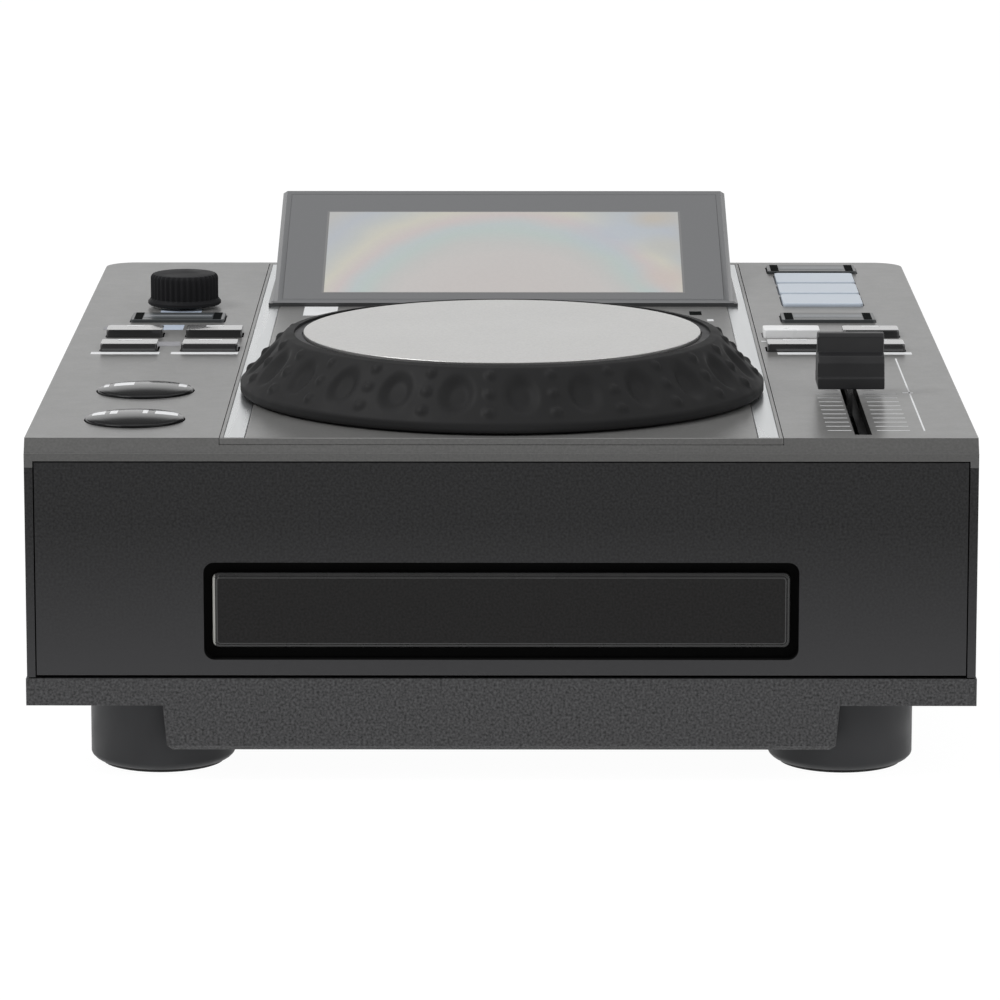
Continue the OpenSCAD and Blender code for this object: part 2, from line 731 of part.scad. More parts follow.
module case_screws() {
    color("#8d8f92") {
        for (p = cover_posts) screw_up(p[0], p[1], skirt_z + 1.3, 11);
        for (p = left_bosses) screw_up(p[0], p[1], board_top - board_t, 7);
        for (p = right_bosses) screw_up(p[0], p[1], board_top - board_t, 7);
        for (p = fader_ears) screw_up(p[0], p[1], fader_z + fader_body_h - 1, 4);
        for (p = flange_screws) screw_up(p[0], p[1], deck_under - flange_h, flange_h + 0.8);
        for (p = rear_screws) {
            rod_y(p[0], body_d, p[1], 1.8 * screw_r, 1.3);
            rod_y(p[0], rear_in - 1, p[1], screw_r, body_d - rear_in + 1);
        }
        for (p = chassis_posts) {
            post(p[0], p[1], chassis_z + chassis_t, 1.8 * screw_r, 1.3);
            post(p[0], p[1], chassis_z - 6, screw_r, chassis_t + 6);
        }
        for (p = board_posts) {
            post(p[0], p[1], main_z + board_t, 1.8 * screw_r, 1.3);
            post(p[0], p[1], main_z - 5, screw_r, board_t + 5);
        }
    }
}

// ---------------------------------------------------------------- display

module display_housing() {
    back = display_flat + 4.4;
    color("#2b2d2f") difference() {
        union() {
            translate([-display_w / 2, front_y + display_front, deck_h]) rotate([90, 0, 90]) linear_extrude(display_w)
                polygon([
                    [0, 0], [0, display_lift], [display_flat, display_lift + display_rise],
                    [display_flat + 1.6, display_lift + display_rise - 1], [back, 3], [back, 0]
                ]);
            block(-display_w / 2 - display_foot, display_front, deck_h, display_w + 2 * display_foot, back,
                display_foot_h);
        }
        for (s = [-1, 1]) on_display() translate([s * display_w / 2, display_foot, 0]) rotate([0, 45, 0])
            translate([-display_bevel / sqrt(2), 0, -display_bevel / sqrt(2)])
                cube([sqrt(2) * display_bevel, display_len + back, sqrt(2) * display_bevel]);
        on_display() translate([-display_w / 2 + glass_rim, glass_rim, -glass_t])
            cube([display_w - 2 * glass_rim, display_len - 2 * glass_rim, glass_t + over]);
        on_display() translate([-lcd_w / 2 - 0.3, lcd_inset - 0.3, -glass_t - lcd_t - 0.4])
            cube([lcd_w + 0.6, lcd_len + 0.6, lcd_t + over]);
        on_display() translate([-lcd_w / 2 + well_side, lcd_inset + well_low, -display_len])
            cube([lcd_w - 2 * well_side, lcd_len - well_low - well_high, display_len]);
    }
}

module display_glass() {
    color("#5a5d60") on_display() translate([-display_w / 2 + glass_rim + 0.15, glass_rim + 0.15, -glass_t])
        cube([display_w - 2 * glass_rim - 0.3, display_len - 2 * glass_rim - 0.3, glass_t]);
}

// The module's metal frame with its ribbon connector behind
module lcd_module() {
    color("#b9bcc0") on_display() {
        translate([-lcd_w / 2, lcd_inset, -glass_t - lcd_t - 0.2]) cube([lcd_w, lcd_len, lcd_t]);
        translate([-16, lcd_inset + 30, -glass_t - lcd_t - 1.8]) cube([32, 8, 1.6]);
    }
}

// ---------------------------------------------------------------- jog wheel

// The ring's slope: its unit vector outwards and downwards, and the inward normal
slope = [jog_r - jog_shoulder_r, jog_foot + jog_band - (jog_top - 0.6)];
slope_len = norm(slope);
slope_dir = slope / slope_len;
slope_in = [slope_dir[1], -slope_dir[0]] * jog_skin;
slope_angle = atan2(-slope[1], slope[0]);
ring_in = jog_plate_r + 2.4;
cone_low = [jog_r, jog_foot + jog_band] + slope_in;
cone_high = [jog_shoulder_r + 0.4, jog_top - 1] + slope_in;

// Radius of the ring's inner cone at a height
function cone_r(z) = cone_low[0] + (z - cone_low[1]) * (cone_high[0] - cone_low[0]) / (cone_high[1] - cone_low[1]);

module jog_plate() {
    color("#c9ccd0") post(0, jog_depth, jog_top - jog_plate_t, jog_plate_r, jog_plate_t);
}

module dimple(a) {
    mid = [(jog_r + jog_shoulder_r) / 2, (jog_top - 0.6 + jog_foot + jog_band) / 2];
    translate([0, front_y + jog_depth, 0]) rotate([0, 0, a]) translate([mid[0], 0, mid[1]])
        rotate([0, slope_angle, 0]) translate([-dimple_len / 2, 0, dimple_r - dimple_depth])
            rotate([0, 90, 0]) cylinder(r = dimple_r, h = dimple_len);
}

module jog_ring() {
    color("#1b1c1d") difference() {
        translate([0, front_y + jog_depth, 0]) rotate_extrude($fn = 96) polygon([
            [ring_in, jog_top - 0.2], [jog_shoulder_r, jog_top - 0.6], [jog_r, jog_foot + jog_band],
            [jog_r, jog_foot], [cone_low[0], jog_foot], cone_low, cone_high, [ring_in, cone_high[1]]
        ]);
        for (i = [0:jog_dimples - 1]) dimple(dimple_turn + i * 360 / jog_dimples);
    }
}

// The moulding that carries the plate and the ring: a dished disc with a hub
module jog_carrier() {
    foot = jog_foot + 1;
    foot_edge = cone_r(foot + 1.2) - seam;
    rim = 0.4;
    color("#2c2d2f") difference() {
        translate([0, front_y + jog_depth, 0]) rotate_extrude($fn = 96) polygon([
            [0, hub_z], [deck_hole_r, hub_z], [deck_hole_r, carrier_top - 2.4], [ring_in - 3, carrier_top - 2.4],
            [ring_in - 3, foot], [foot_edge, foot], [foot_edge, foot + 1.2], [ring_in - fit, foot + 1.2],
            [ring_in - fit, carrier_top + rim], [jog_plate_r + rim, carrier_top + rim],
            [jog_plate_r + rim, carrier_top], [0, carrier_top]
        ]);
        post(0, jog_depth, hub_z - over, jog_shaft_r + fit, shaft_top + 0.6 - hub_z + over);
    }
}

module jog_shaft() {
    color("#b0b3b6") post(0, jog_depth, encoder_z - 1, jog_shaft_r, shaft_top - encoder_z + 1);
}

// The flanged tube under the deck, with a bush at each end of its bore
module jog_bearing_housing() {
    foot = deck_under - bearing_drop;
    relief = 8;
    color("#8a8c8f") difference() {
        union() {
            post(0, jog_depth, deck_under - flange_h, flange_r, flange_h);
            post(0, jog_depth, foot, bearing_r, deck_h + bearing_rise - foot);
            for (a = [0:60:300]) translate([0, front_y + jog_depth, deck_under - flange_h - 5]) rotate([0, 0, a])
                translate([bearing_r - 1, -1, 0]) cube([flange_r / 2, 2, 5]);
        }
        post(0, jog_depth, foot - over, jog_shaft_r + running, deck_h + bearing_rise - foot + 2 * over);
        post(0, jog_depth, deck_under - relief, jog_shaft_r + 1.5, relief);
        for (p = flange_screws) post(p[0], p[1], deck_under - flange_h - over, screw_r + fit, flange_h + 2 * over);
    }
}

module jog_encoder_disc() {
    slots = 24;
    disc_r = 17;
    color("#555759") difference() {
        post(0, jog_depth, encoder_z, disc_r, 1);
        post(0, jog_depth, encoder_z - over, jog_shaft_r + fit, 1 + 2 * over);
        for (i = [0:slots - 1]) translate([0, front_y + jog_depth, encoder_z - over]) rotate([0, 0, i * 360 / slots])
            translate([disc_r - 4.5, -0.6, 0]) cube([3.5, 1.2, 1 + 2 * over]);
    }
}

// ---------------------------------------------------------------- selector

module select_knob() {
    foot = deck_h + knob_gap;
    color("#1e1f20") difference() {
        translate([-select_x, front_y + select_depth, 0]) rotate_extrude() polygon([
            [0, foot], [knob_r, foot], [knob_r, foot + 1.2], [knob_top_r + 0.2, foot + 1.7],
            [knob_top_r, foot + knob_h - 0.8], [knob_top_r - 0.8, foot + knob_h], [0, foot + knob_h]
        ]);
        post(-select_x, select_depth, foot - over, select_shaft_r + running, knob_h - 1.4 + over);
    }
}

module select_shaft() {
    bottom = board_top + 2;
    color("#a7aaad") post(-select_x, select_depth, bottom, select_shaft_r, deck_h + knob_gap + knob_h - 1.6 - bottom);
}

module select_encoder() {
    color("#77797c") difference() {
        union() {
            slab(-select_x, select_depth, board_top, 12, 12, 6.5);
            post(-select_x, select_depth, board_top + 6.5, select_neck_r, deck_h - board_top - 6.5);
        }
        post(-select_x, select_depth, board_top + 1, select_shaft_r + running, 20);
    }
}

// ---------------------------------------------------------------- buttons

// A button: a cap through the deck, a flange that stops it from below and a stem over its switch
module key_cap(k) {
    flange_z = deck_under - key_gap - flange_t;
    pill(k[0], k[1], flange_z, k[2] + 2 * flange_w, k[3] + 2 * flange_w, flange_t, k[5] + flange_w);
    pill(k[0], k[1], flange_z + flange_t, k[2], k[3], key_gap + deck_t + k[4], k[5]);
    post(k[0], k[1], stem_z, stem_r, flange_z - stem_z);
}

module left_key_outer_front() { color("#2a2b2c") key_cap(left_keys[0]); }
module left_key_inner_front() { color("#2a2b2c") key_cap(left_keys[1]); }
module left_key_outer_rear() { color("#2a2b2c") key_cap(left_keys[2]); }
module left_key_inner_rear() { color("#2a2b2c") key_cap(left_keys[3]); }
module left_slim_key() { color("#5e6266") key_cap(left_keys[4]); }
module right_key_inner_front() { color("#2a2b2c") key_cap(right_keys[0]); }
module right_key_outer_front() { color("#2a2b2c") key_cap(right_keys[1]); }
module right_key_inner_rear() { color("#eceef0") key_cap(right_keys[2]); }
module right_key_outer_rear() { color("#2a2b2c") key_cap(right_keys[3]); }
module right_slim_key_front() { color("#5e6266") key_cap(right_keys[4]); }
module pad_front() { color("#d5dde6") key_cap(right_keys[5]); }
module pad_middle() { color("#d5dde6") key_cap(right_keys[6]); }
module pad_rear() { color("#d5dde6") key_cap(right_keys[7]); }
module right_slim_key_rear() { color("#5e6266") key_cap(right_keys[8]); }

// A round button with a domed top
module round_button(k) {
    color("#55585b") intersection() {
        key_cap(k);
        translate([k[0], front_y + k[1], deck_h + round_h - dome_r]) sphere(r = dome_r, $fn = 128);
    }
}

module play_button() { round_button(left_keys[5]); }
module cue_button() { round_button(left_keys[6]); }

module key_board(b, keys, bosses) {
    difference() {
        union() {
            block(b[0], b[1], board_top - board_t, b[2], b[3], board_t);
            for (k = keys) slab(k[0], k[1], board_top, switch_s, switch_s, switch_h);
        }
        for (k = keys) post(k[0], k[1], board_top + switch_h - switch_well, stem_r + 0.3, switch_well + over);
        for (p = bosses) post(p[0], p[1], board_top - board_t - over, screw_r + fit, board_t + 2 * over);
    }
}

module key_boards() {
    color("#2f6b3f") {
        key_board(left_board, left_keys, left_bosses);
        key_board(right_board, right_keys, right_bosses);
    }
}

// ---------------------------------------------------------------- pitch fader

lever_top = deck_h + cap_gap + 6;

// The cap's side outline: an upright lip, slopes to the front and the rear, and a grip between them
module fader_cap() {
    half = cap_d / 2;
    grip = grip_t / 2;
    rise = cap_h - grip_h - cap_lip;
    side = [
        [-half, 0], [-half, cap_lip], [-half + 0.5, cap_lip + 0.2], [-half + 1.1, cap_lip + 0.6 * rise],
        [-half + 2.2, cap_lip + 0.88 * rise], [-grip, cap_lip + rise], [-grip, cap_h - 0.9], [-grip + 0.8, cap_h]
    ];
    color("#222325") difference() {
        translate([fader_x - cap_w / 2, front_y + fader_depth, deck_h + cap_gap]) rotate([90, 0, 90])
            linear_extrude(cap_w)
                polygon(concat(side, [for (i = [len(side) - 1:-1:0]) [-side[i][0], side[i][1]]]));
        slab(fader_x, fader_depth, deck_h + cap_gap - over, lever_t + 2 * fit, lever_w + 2 * fit, 6 + over + fit);
    }
}

module fader_lever() {
    color("#9a9c9f") {
        slab(fader_x, fader_depth, fader_z + 4, lever_t, lever_w, lever_top - fader_z - 4);
        slab(fader_x, fader_depth, fader_z + 2, 8, 7, 2);
    }
}

module fader_body() {
    color("#6d6f72") difference() {
        union() {
            slab(fader_x, fader_depth, fader_z, fader_body_w, 2 * fader_half, fader_body_h);
            for (p = fader_ears) block(p[0] - 4, p[1] - 4, fader_z + fader_body_h - 1, 9.6, 8, 1);
        }
        slab(fader_x, fader_depth, fader_z + 1.4, fader_body_w - 3, 2 * fader_half - 2, fader_body_h - 2.6);
        slab(fader_x, fader_depth, fader_z + 2, 2.2, fader_travel + lever_w + 2, fader_body_h);
        for (p = fader_ears) post(p[0], p[1], fader_z, screw_r + fit, fader_body_h + over);
    }
}

// ---------------------------------------------------------------- disc loader

// One rack tooth pointing to +X from the root line, centred on its pitch
module rack_tooth() {
    pitch = PI * rack_module;
    root = 1.1 * rack_module;
    half = 0.21 * pitch;
    polygon([
        [-root, -half - root * tan(20)], [rack_tip, -half + rack_tip * tan(20)],
        [rack_tip, half - rack_tip * tan(20)], [-root, half + root * tan(20)]
    ]);
}

// A point of the loading gear's involute flank at a given roll angle
function flank(roll, turn) = let (
    base = gear_r * cos(20),
    arc = roll * PI / 180
) [
    base * (cos(roll + turn) + arc * sin(roll + turn)),
    base * (sin(roll + turn) - arc * cos(roll + turn))
];

// The gear's outline, with a tooth that points to +X
module gear_outline() {
    outer = gear_r + rack_tip;
    root = gear_r - 1.15 * rack_module;
    base = gear_r * cos(20);
    roll_out = sqrt(pow(outer / base, 2) - 1) * 180 / PI;
    roll_pitch = tan(20) * 180 / PI;
    half = 0.21 * 360 / gear_teeth + roll_pitch - 20;
    circle(root);
    for (i = [0:gear_teeth - 1]) rotate(i * 360 / gear_teeth) polygon(concat(
        [[root - 0.4, -0.21 * PI * rack_module]],
        [for (n = [0:4]) flank(n * roll_out / 4, -half)],
        [for (n = [4:-1:0]) let (p = flank(n * roll_out / 4, -half)) [p[0], -p[1]]],
        [[root - 0.4, 0.21 * PI * rack_module]]
    ));
}

module disc_tray() {
    pitch = PI * rack_module;
    root = 1.1 * rack_module;
    first = ceil((chassis_front + 4 - gear_depth) / pitch);
    last = floor((tray_end - 3 - gear_depth) / pitch);
    color("#26272a") {
        difference() {
            union() {
                block(-tray_half, door_back + door_t, tray_z, tray_w, tray_end - door_back - door_t, tray_t);
                block(-tray_half - rail_reach, 12, rail_z, tray_w + 2 * rail_reach, tray_end - 12, rail_t);
                block(-rack_x - rack_w, gear_depth + (first - 0.5) * pitch, tray_z - rack_h, rack_w - root,
                    (last - first + 1) * pitch, rack_h);
            }
            post(0, disc_depth, well_z, well_r, tray_t);
            post(0, disc_depth, well_z - 0.8, 41, tray_t);
            block(-slot_half, disc_depth - 20, tray_z - over, 2 * slot_half, tray_end, tray_t + 2 * over);
            slab(0, disc_depth - well_r, tray_z + 1.6, 34, 12, tray_t);
        }
        for (i = [first:last]) translate([-rack_x, front_y + gear_depth + (i + 0.5) * pitch, tray_z - rack_h])
            linear_extrude(rack_h) rack_tooth();
    }
}

module tray_door() {
    step = 0.8;
    color("#242526") {
        door_shape(door_back + step, door_w, door_h, door_t - step, 1.6);
        door_shape(door_back, door_w - 2 * step, door_h - 2 * step, step + fit, 1);
    }
}

module loader_chassis() {
    inner = tray_half + 0.4;
    color("#3b3d40") difference() {
        union() {
            block(-chassis_out, chassis_front, chassis_z, 2 * chassis_out, chassis_end - chassis_front, chassis_t);
            for (s = [-1, 1]) block(s > 0 ? inner : -chassis_out, chassis_front, chassis_z, chassis_out - inner,
                tray_end - chassis_front, chassis_top - chassis_z);
            for (s = [-1, 1]) slab(s * 40, hinge_depth, chassis_z, 4, 10, hinge_z - chassis_z + 5);
            post(gear_x, gear_depth, chassis_z, trunnion_r, gear_z + gear_t - chassis_z);
            post(gear_x, gear_depth, chassis_z, 3.4, belt_z - chassis_z - 2.2);
        }
        block(-inner - rail_reach, chassis_front - over, rail_z - 0.3, 2 * (inner + rail_reach),
            tray_end, rail_t + 0.6);
        block(-traverse_half - 4, traverse_front - 6, chassis_z - over, 2 * traverse_half + 8,
            hinge_depth - traverse_front, chassis_t + 2 * over);
        for (s = [-1, 1]) rod_x(s * 40 - 3, hinge_depth, hinge_z, trunnion_r + running, 6);
        post(motor_x, gear_depth, chassis_z - over, 3.2, chassis_t + 2 * over);
        for (p = chassis_posts) post(p[0], p[1], chassis_z - over, screw_r + fit, chassis_t + 2 * over);
        for (p = chassis_posts) post(p[0], p[1], chassis_z + chassis_t, 3.2, chassis_top);
    }
}

module clamp_bridge() {
    color("#9fa2a5") difference() {
        slab(0, disc_depth, chassis_top, 2 * chassis_out, 44, 2);
        post(0, disc_depth, chassis_top - over, clamp_r + 0.6, 4);
        for (s = [-1, 1]) slab(s * 38, disc_depth, chassis_top - over, 30, 24, 4);
    }
}

module disc_clamp() {
    color("#dcdedf") difference() {
        union() {
            post(0, disc_depth, chassis_top - 1.3, clamp_r, 3.5);
            post(0, disc_depth, chassis_top + 2.2, clamp_r + 2.8, 1.6);
        }
        post(0, disc_depth, chassis_top - 2.3, hub_r + 1.1, 2.6);
    }
}

module loading_motor() {
    color("#a9acaf") difference() {
        union() {
            post(motor_x, gear_depth, belly_floor + 2.7, 9, chassis_z - belly_floor - 2.7);
            post(motor_x, gear_depth, chassis_z, 3, chassis_t);
        }
        post(motor_x, gear_depth, belly_floor + 3.7, 1 + running, 20);
    }
}

module pulley(r) {
    groove = belt_t / 2 + 0.1;
    rotate_extrude() polygon([
        [0, -2], [r, -2], [r, -groove], [r - 1, -groove], [r - 1, groove], [r, groove], [r, 2], [0, 2]
    ]);
}

module motor_pulley() {
    color("#c8b46a") {
        translate([motor_x, front_y + gear_depth, belt_z]) pulley(motor_pulley_r);
        post(motor_x, gear_depth, belly_floor + 4.7, 1, belt_z - 2 - belly_floor - 4.7);
    }
}

// The belt around both pulleys, with straight runs on their common tangents
module drive_belt() {
    big = pulley_r - 1 + fit;
    small = motor_pulley_r - 1 + fit;
    run = motor_x - gear_x;
    a = asin((big - small) / run);
    color("#151516") translate([gear_x, front_y + gear_depth, belt_z - belt_t / 2]) {
        rotate([0, 0, 90 - a]) rotate_extrude(angle = 180 + 2 * a) translate([big, 0]) square(belt_t);
        translate([run, 0, 0]) rotate([0, 0, a - 90]) rotate_extrude(angle = 180 - 2 * a)
            translate([small, 0]) square(belt_t);
        for (side = [0, 1]) mirror([0, side, 0]) rotate([0, 0, -a]) translate([0, big, 0])
            cube([run * cos(a), belt_t, belt_t]);
    }
}

// The pulley and the gear that drives the tray's rack, moulded as one
module pulley_gear() {
    color("#e6e2d3") difference() {
        translate([gear_x, front_y + gear_depth, 0]) {
            translate([0, 0, belt_z]) pulley(pulley_r);
            translate([0, 0, belt_z + 2]) cylinder(r = 5, h = gear_z - belt_z - 2);
            translate([0, 0, gear_z]) rotate([0, 0, 180]) linear_extrude(gear_t) gear_outline();
        }
        post(gear_x, gear_depth, belt_z - 3, trunnion_r + running, 20);
    }
}

module traverse_frame() {
    plate_z = traverse_top - traverse_t;
    color("#77797b") difference() {
        union() {
            block(-traverse_half, traverse_front, plate_z, 2 * traverse_half, rod_end + 2 - traverse_front, traverse_t);
            for (s = [-1, 1]) block(s > 0 ? traverse_half - 4 : -traverse_half, rod_end, plate_z - 1, 4,
                hinge_depth + 4 - rod_end, 6);
            for (s = [-1, 1], d = [rod_front, rod_end - 4])
                block(s * rod_x - 3.5, d, traverse_top, 7, 4, 5.6);
            for (s = [-1, 1]) rod_x(s > 0 ? traverse_half : -traverse_half - 4.5, hinge_depth, hinge_z, trunnion_r, 4.5);
            block(rod_x - 6, rod_end, traverse_top - 1, 12, 4, 9);
        }
        post(0, disc_depth, plate_z - over, 4.5, traverse_t + 2 * over);
        slab(0, disc_depth + 50, plate_z - over, 36, 56, traverse_t + 2 * over);
        for (s = [-1, 1]) rod_y(s * rod_x, rod_front - over, rod_z, rod_r + (s > 0 ? running : fit),
            rod_end + 5 + over - rod_front);
    }
}

module turntable() {
    seat = well_z + 0.9;
    color("#55575a") {
        translate([0, front_y + disc_depth, 0]) rotate_extrude() polygon([
            [0, seat - 2.4], [turntable_r, seat - 2.4], [turntable_r, seat], [hub_r, seat],
            [hub_r, seat + 0.8], [hub_r - 1.4, seat + 1.8], [0, seat + 1.8]
        ]);
        post(0, disc_depth, traverse_top + 0.6, 4, seat - 2.4 - traverse_top - 0.6);
        post(0, disc_depth, traverse_top - traverse_t - 8, 1, traverse_t + 8.6);
    }
}

// The spindle motor under the traverse and the sled motor at the end of the screw
module traverse_motors() {
    under = traverse_top - traverse_t;
    color("#b5b8ba") {
        difference() {
            union() {
                post(0, disc_depth, under - 9.4, 12, 9.4);
                post(0, disc_depth, under, 4.4, traverse_t);
            }
            post(0, disc_depth, under - 8.6, 1 + running, 20);
        }
        difference() {
            rod_y(rod_x, rod_end + 4, rod_z, 5.8, 14);
            rod_y(rod_x, rod_end + 3, rod_z, rod_r + running, 12);
        }
    }
}

module pickup_sled() {
    color("#3f4246") difference() {
        union() {
            block(-sled_half, sled_front, traverse_top + 0.8, 2 * sled_half, sled_len, 6.2);
            block(-lug_half, sled_front + 6, traverse_top + 1.2, 2 * lug_half, 16, 4.2);
            post(0, disc_depth + 24, traverse_top + 7, 3.6, 0.9);
        }
        for (s = [-1, 1]) rod_y(s * rod_x, sled_front - over, rod_z, rod_r + running, sled_len + 2 * over);
        post(0, disc_depth + 24, traverse_top + 7.4, 2.4, 2);
    }
}

module guide_rod() {
    color("#cfd2d4") rod_y(-rod_x, rod_front, rod_z, rod_r, rod_end - rod_front);
}

module lead_screw() {
    color("#cfd2d4") rod_y(rod_x, rod_front, rod_z, rod_r, rod_end + 12 - rod_front);
}

// ---------------------------------------------------------------- electrics and rear

module main_board() {
    color("#2c5c8a") {
        difference() {
            block(-main_half, main_front, main_z, 2 * main_half, main_end - main_front, board_t);
            for (p = board_posts) post(p[0], p[1], main_z - over, screw_r + fit, board_t + 2 * over);
        }
        slab(-6, main_front + 28, main_z + board_t, 22, 22, 1.6);
        slab(24, main_front + 34, main_z + board_t, 12, 18, 1.4);
        slab(-34, main_front + 26, main_z + board_t, 14, 14, 9);
        for (i = [1:3]) post(main_half - 12 * i, main_front + 24, main_z + board_t, 4, 11);
        for (i = [0, 1]) slab(16 * i + 12 - main_half, main_front + 8, main_z + board_t, 12, 6, 6);
    }
}

module line_sockets() {
    z = main_z + board_t;
    color("#1d1e1f") for (x = socket_xs) difference() {
        union() {
            slab(x, rear_in - 6.5, z, 11, 13, socket_z + 6 - z);
            rod_y(x, rear_in, socket_z, socket_collar_r, socket_collar_t);
            rod_y(x, rear_in, socket_z, socket_r, body_d + socket_reach - rear_in);
        }
        rod_y(x, body_d + socket_reach - 9, socket_z, 1.6, 9 + over);
    }
}

module power_jack() {
    z = main_z + board_t;
    color("#1d1e1f") {
        difference() {
            union() {
                slab(jack_x, rear_in - 6, z, 9.6, 12, 12);
                rod_y(jack_x, rear_in, main_z + 8, jack_r, body_d - rear_in);
            }
            rod_y(jack_x, body_d - 9.5, main_z + 8, jack_bore_r, 9.5 + over);
        }
        rod_y(jack_x, body_d - 9.5, main_z + 8, 1, 8.5);
    }
}

module power_switch() {
    color("#161718") difference() {
        union() {
            block(switch_x - 6.4, rear_in - 16, switch_z - 9.6, 12.8, 16 + rear_t, 19.2);
            block(switch_x - 7.4, rear_in + rear_t, switch_z - 10.6, 14.8, 1.4, 21.2);
        }
        block(switch_x - 4.8, rear_in - 12, switch_z - 9, 9.6, 20, 18);
        rod_x(switch_x - 8, rocker_depth, switch_z, rocker_pin_r + running, 16);
    }
}

// The rocker lies off, with its lower half proud of the frame, and tips on a pin at each side
module power_rocker() {
    color("#303133") {
        translate([switch_x - 4.6, front_y + rocker_depth, switch_z]) rotate([90, 0, 90]) linear_extrude(9.2)
            polygon([
                [-4, 2.4], [1.4, 8], [3.6, 8], [3.4, 0], [6.2, -6.6], [4.6, -7.2], [1.4, -8], [-4, -2.4]
            ]);
        rod_x(switch_x - 5.8, rocker_depth, switch_z, rocker_pin_r, 11.6);
    }
}

top_cover();
centre_panel();
trim_strips();
front_panel();
base_pan();
rear_panel();
feet();
case_screws();
display_housing();
display_glass();
lcd_module();
jog_plate();
jog_ring();
jog_carrier();
jog_shaft();
jog_bearing_housing();
jog_encoder_disc();
select_knob();
select_shaft();
select_encoder();
left_key_outer_front();
left_key_inner_front();
left_key_outer_rear();
left_key_inner_rear();
left_slim_key();
play_button();
cue_button();
right_key_inner_front();
right_key_outer_front();
right_key_inner_rear();
right_key_outer_rear();
right_slim_key_front();
pad_front();
pad_middle();
pad_rear();
right_slim_key_rear();
key_boards();
fader_cap();
fader_lever();
fader_body();
disc_tray();
tray_door();
loader_chassis();
clamp_bridge();
disc_clamp();
loading_motor();
motor_pulley();
drive_belt();
pulley_gear();
traverse_frame();
turntable();
traverse_motors();
pickup_sled();
guide_rod();
lead_screw();
main_board();
line_sockets();
power_jack();
power_switch();
power_rocker();
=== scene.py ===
"""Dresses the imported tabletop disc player: rounded mouldings, prints, procedural finishes, studio."""

import json
import math

import bmesh
import bpy
from mathutils import Matrix, Vector

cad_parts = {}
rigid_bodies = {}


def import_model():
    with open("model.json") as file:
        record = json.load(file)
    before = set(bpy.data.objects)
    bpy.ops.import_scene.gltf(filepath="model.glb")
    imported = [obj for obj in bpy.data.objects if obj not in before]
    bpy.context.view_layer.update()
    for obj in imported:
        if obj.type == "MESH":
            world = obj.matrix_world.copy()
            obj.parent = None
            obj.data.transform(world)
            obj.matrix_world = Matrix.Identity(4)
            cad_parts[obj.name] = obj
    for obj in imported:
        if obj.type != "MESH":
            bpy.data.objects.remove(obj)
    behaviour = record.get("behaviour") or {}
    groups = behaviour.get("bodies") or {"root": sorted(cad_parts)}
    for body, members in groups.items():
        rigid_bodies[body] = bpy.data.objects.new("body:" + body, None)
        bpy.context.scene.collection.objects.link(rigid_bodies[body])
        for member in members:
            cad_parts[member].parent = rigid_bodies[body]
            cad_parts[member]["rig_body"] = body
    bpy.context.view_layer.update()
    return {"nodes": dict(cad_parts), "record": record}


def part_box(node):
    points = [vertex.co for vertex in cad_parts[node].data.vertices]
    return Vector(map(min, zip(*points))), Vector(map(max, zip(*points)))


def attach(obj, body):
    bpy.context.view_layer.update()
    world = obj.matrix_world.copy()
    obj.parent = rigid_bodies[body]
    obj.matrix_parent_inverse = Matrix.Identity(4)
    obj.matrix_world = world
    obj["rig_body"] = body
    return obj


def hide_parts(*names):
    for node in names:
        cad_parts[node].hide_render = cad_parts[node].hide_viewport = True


bl_info = {
    "name": "Tabletop Disc Player",
    "version": (1, 0, 0),
    "blender": (4, 5, 0),
    "location": "3D View > Sidebar > Disc Player",
    "description": "Finishes a tabletop disc player around its packed frame",
    "category": "Object",
}

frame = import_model()
NODES = frame["nodes"]
SLOTS = {part["node"]: part["material_slot"] for part in frame["record"]["subparts"]}
MM = 0.001
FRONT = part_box("front_panel")[0].y
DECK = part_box("top_cover")[1].z


def middle(node):
    """The centre of a node's box."""
    low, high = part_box(node)
    return (low + high) / 2


def half_width(node):
    low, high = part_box(node)
    return (high.x - low.x) / 2


# ---------------------------------------------------------------- settings


def size(name, description, default):
    return bpy.props.FloatProperty(
        name=name, description=description, default=default, unit="LENGTH", precision=5
    )


def number(name, description, default, least):
    return bpy.props.IntProperty(name=name, description=description, default=default, min=least)


def paint(name, description, default):
    return bpy.props.FloatVectorProperty(
        name=name, description=description, default=default, subtype="COLOR", size=3, min=0, max=1
    )


class DiscPlayerSizes(bpy.types.PropertyGroup):
    case_edge: size("Case edge", "Radius of the mouldings' outer edges", 0.0005)
    key_edge: size("Key edge", "Radius of the keys' edges", 0.0008)
    button_edge: size("Button edge", "Radius of the round buttons' rims", 0.0004)
    button_dome: size("Button dome", "Rise of the round buttons' tops", 0.0009)
    print_height: size("Print height", "Thickness of the printed marks", 0.00004)
    line_width: size("Line width", "Width of the lines in front of the keys", 0.0034)
    tick_width: size("Tick width", "Width of the fader scale's ticks", 0.0004)
    tick_pitch: size("Tick pitch", "Distance between the fader scale's ticks", 0.0056)
    bump_radius: size("Bump radius", "Radius of the ring's small bumps", 0.0016)
    bump_rise: size("Bump rise", "Height of the ring's small bumps", 0.0008)
    flute_depth: size("Flute depth", "Depth of the selector knob's flutes", 0.00045)
    flutes: number("Flutes", "Flutes round the selector knob", 36, 12)
    screen_width: size("Screen width", "Width of the display's clear window", 0.0962)
    screen_length: size("Screen length", "Length of the display's clear window", 0.0546)
    screen_drop: size("Screen drop", "How far the window sits below the cover glass's middle", 0.004)
    dimples: number("Dimples", "Finger dimples round the ring", 24, 8)
    ticks: number("Ticks", "Ticks on each side of the fader", 19, 3)
    dimple_turn: bpy.props.FloatProperty(
        name="Dimple turn", description="Turn of the ring at rest", default=math.radians(4.7), subtype="ANGLE"
    )


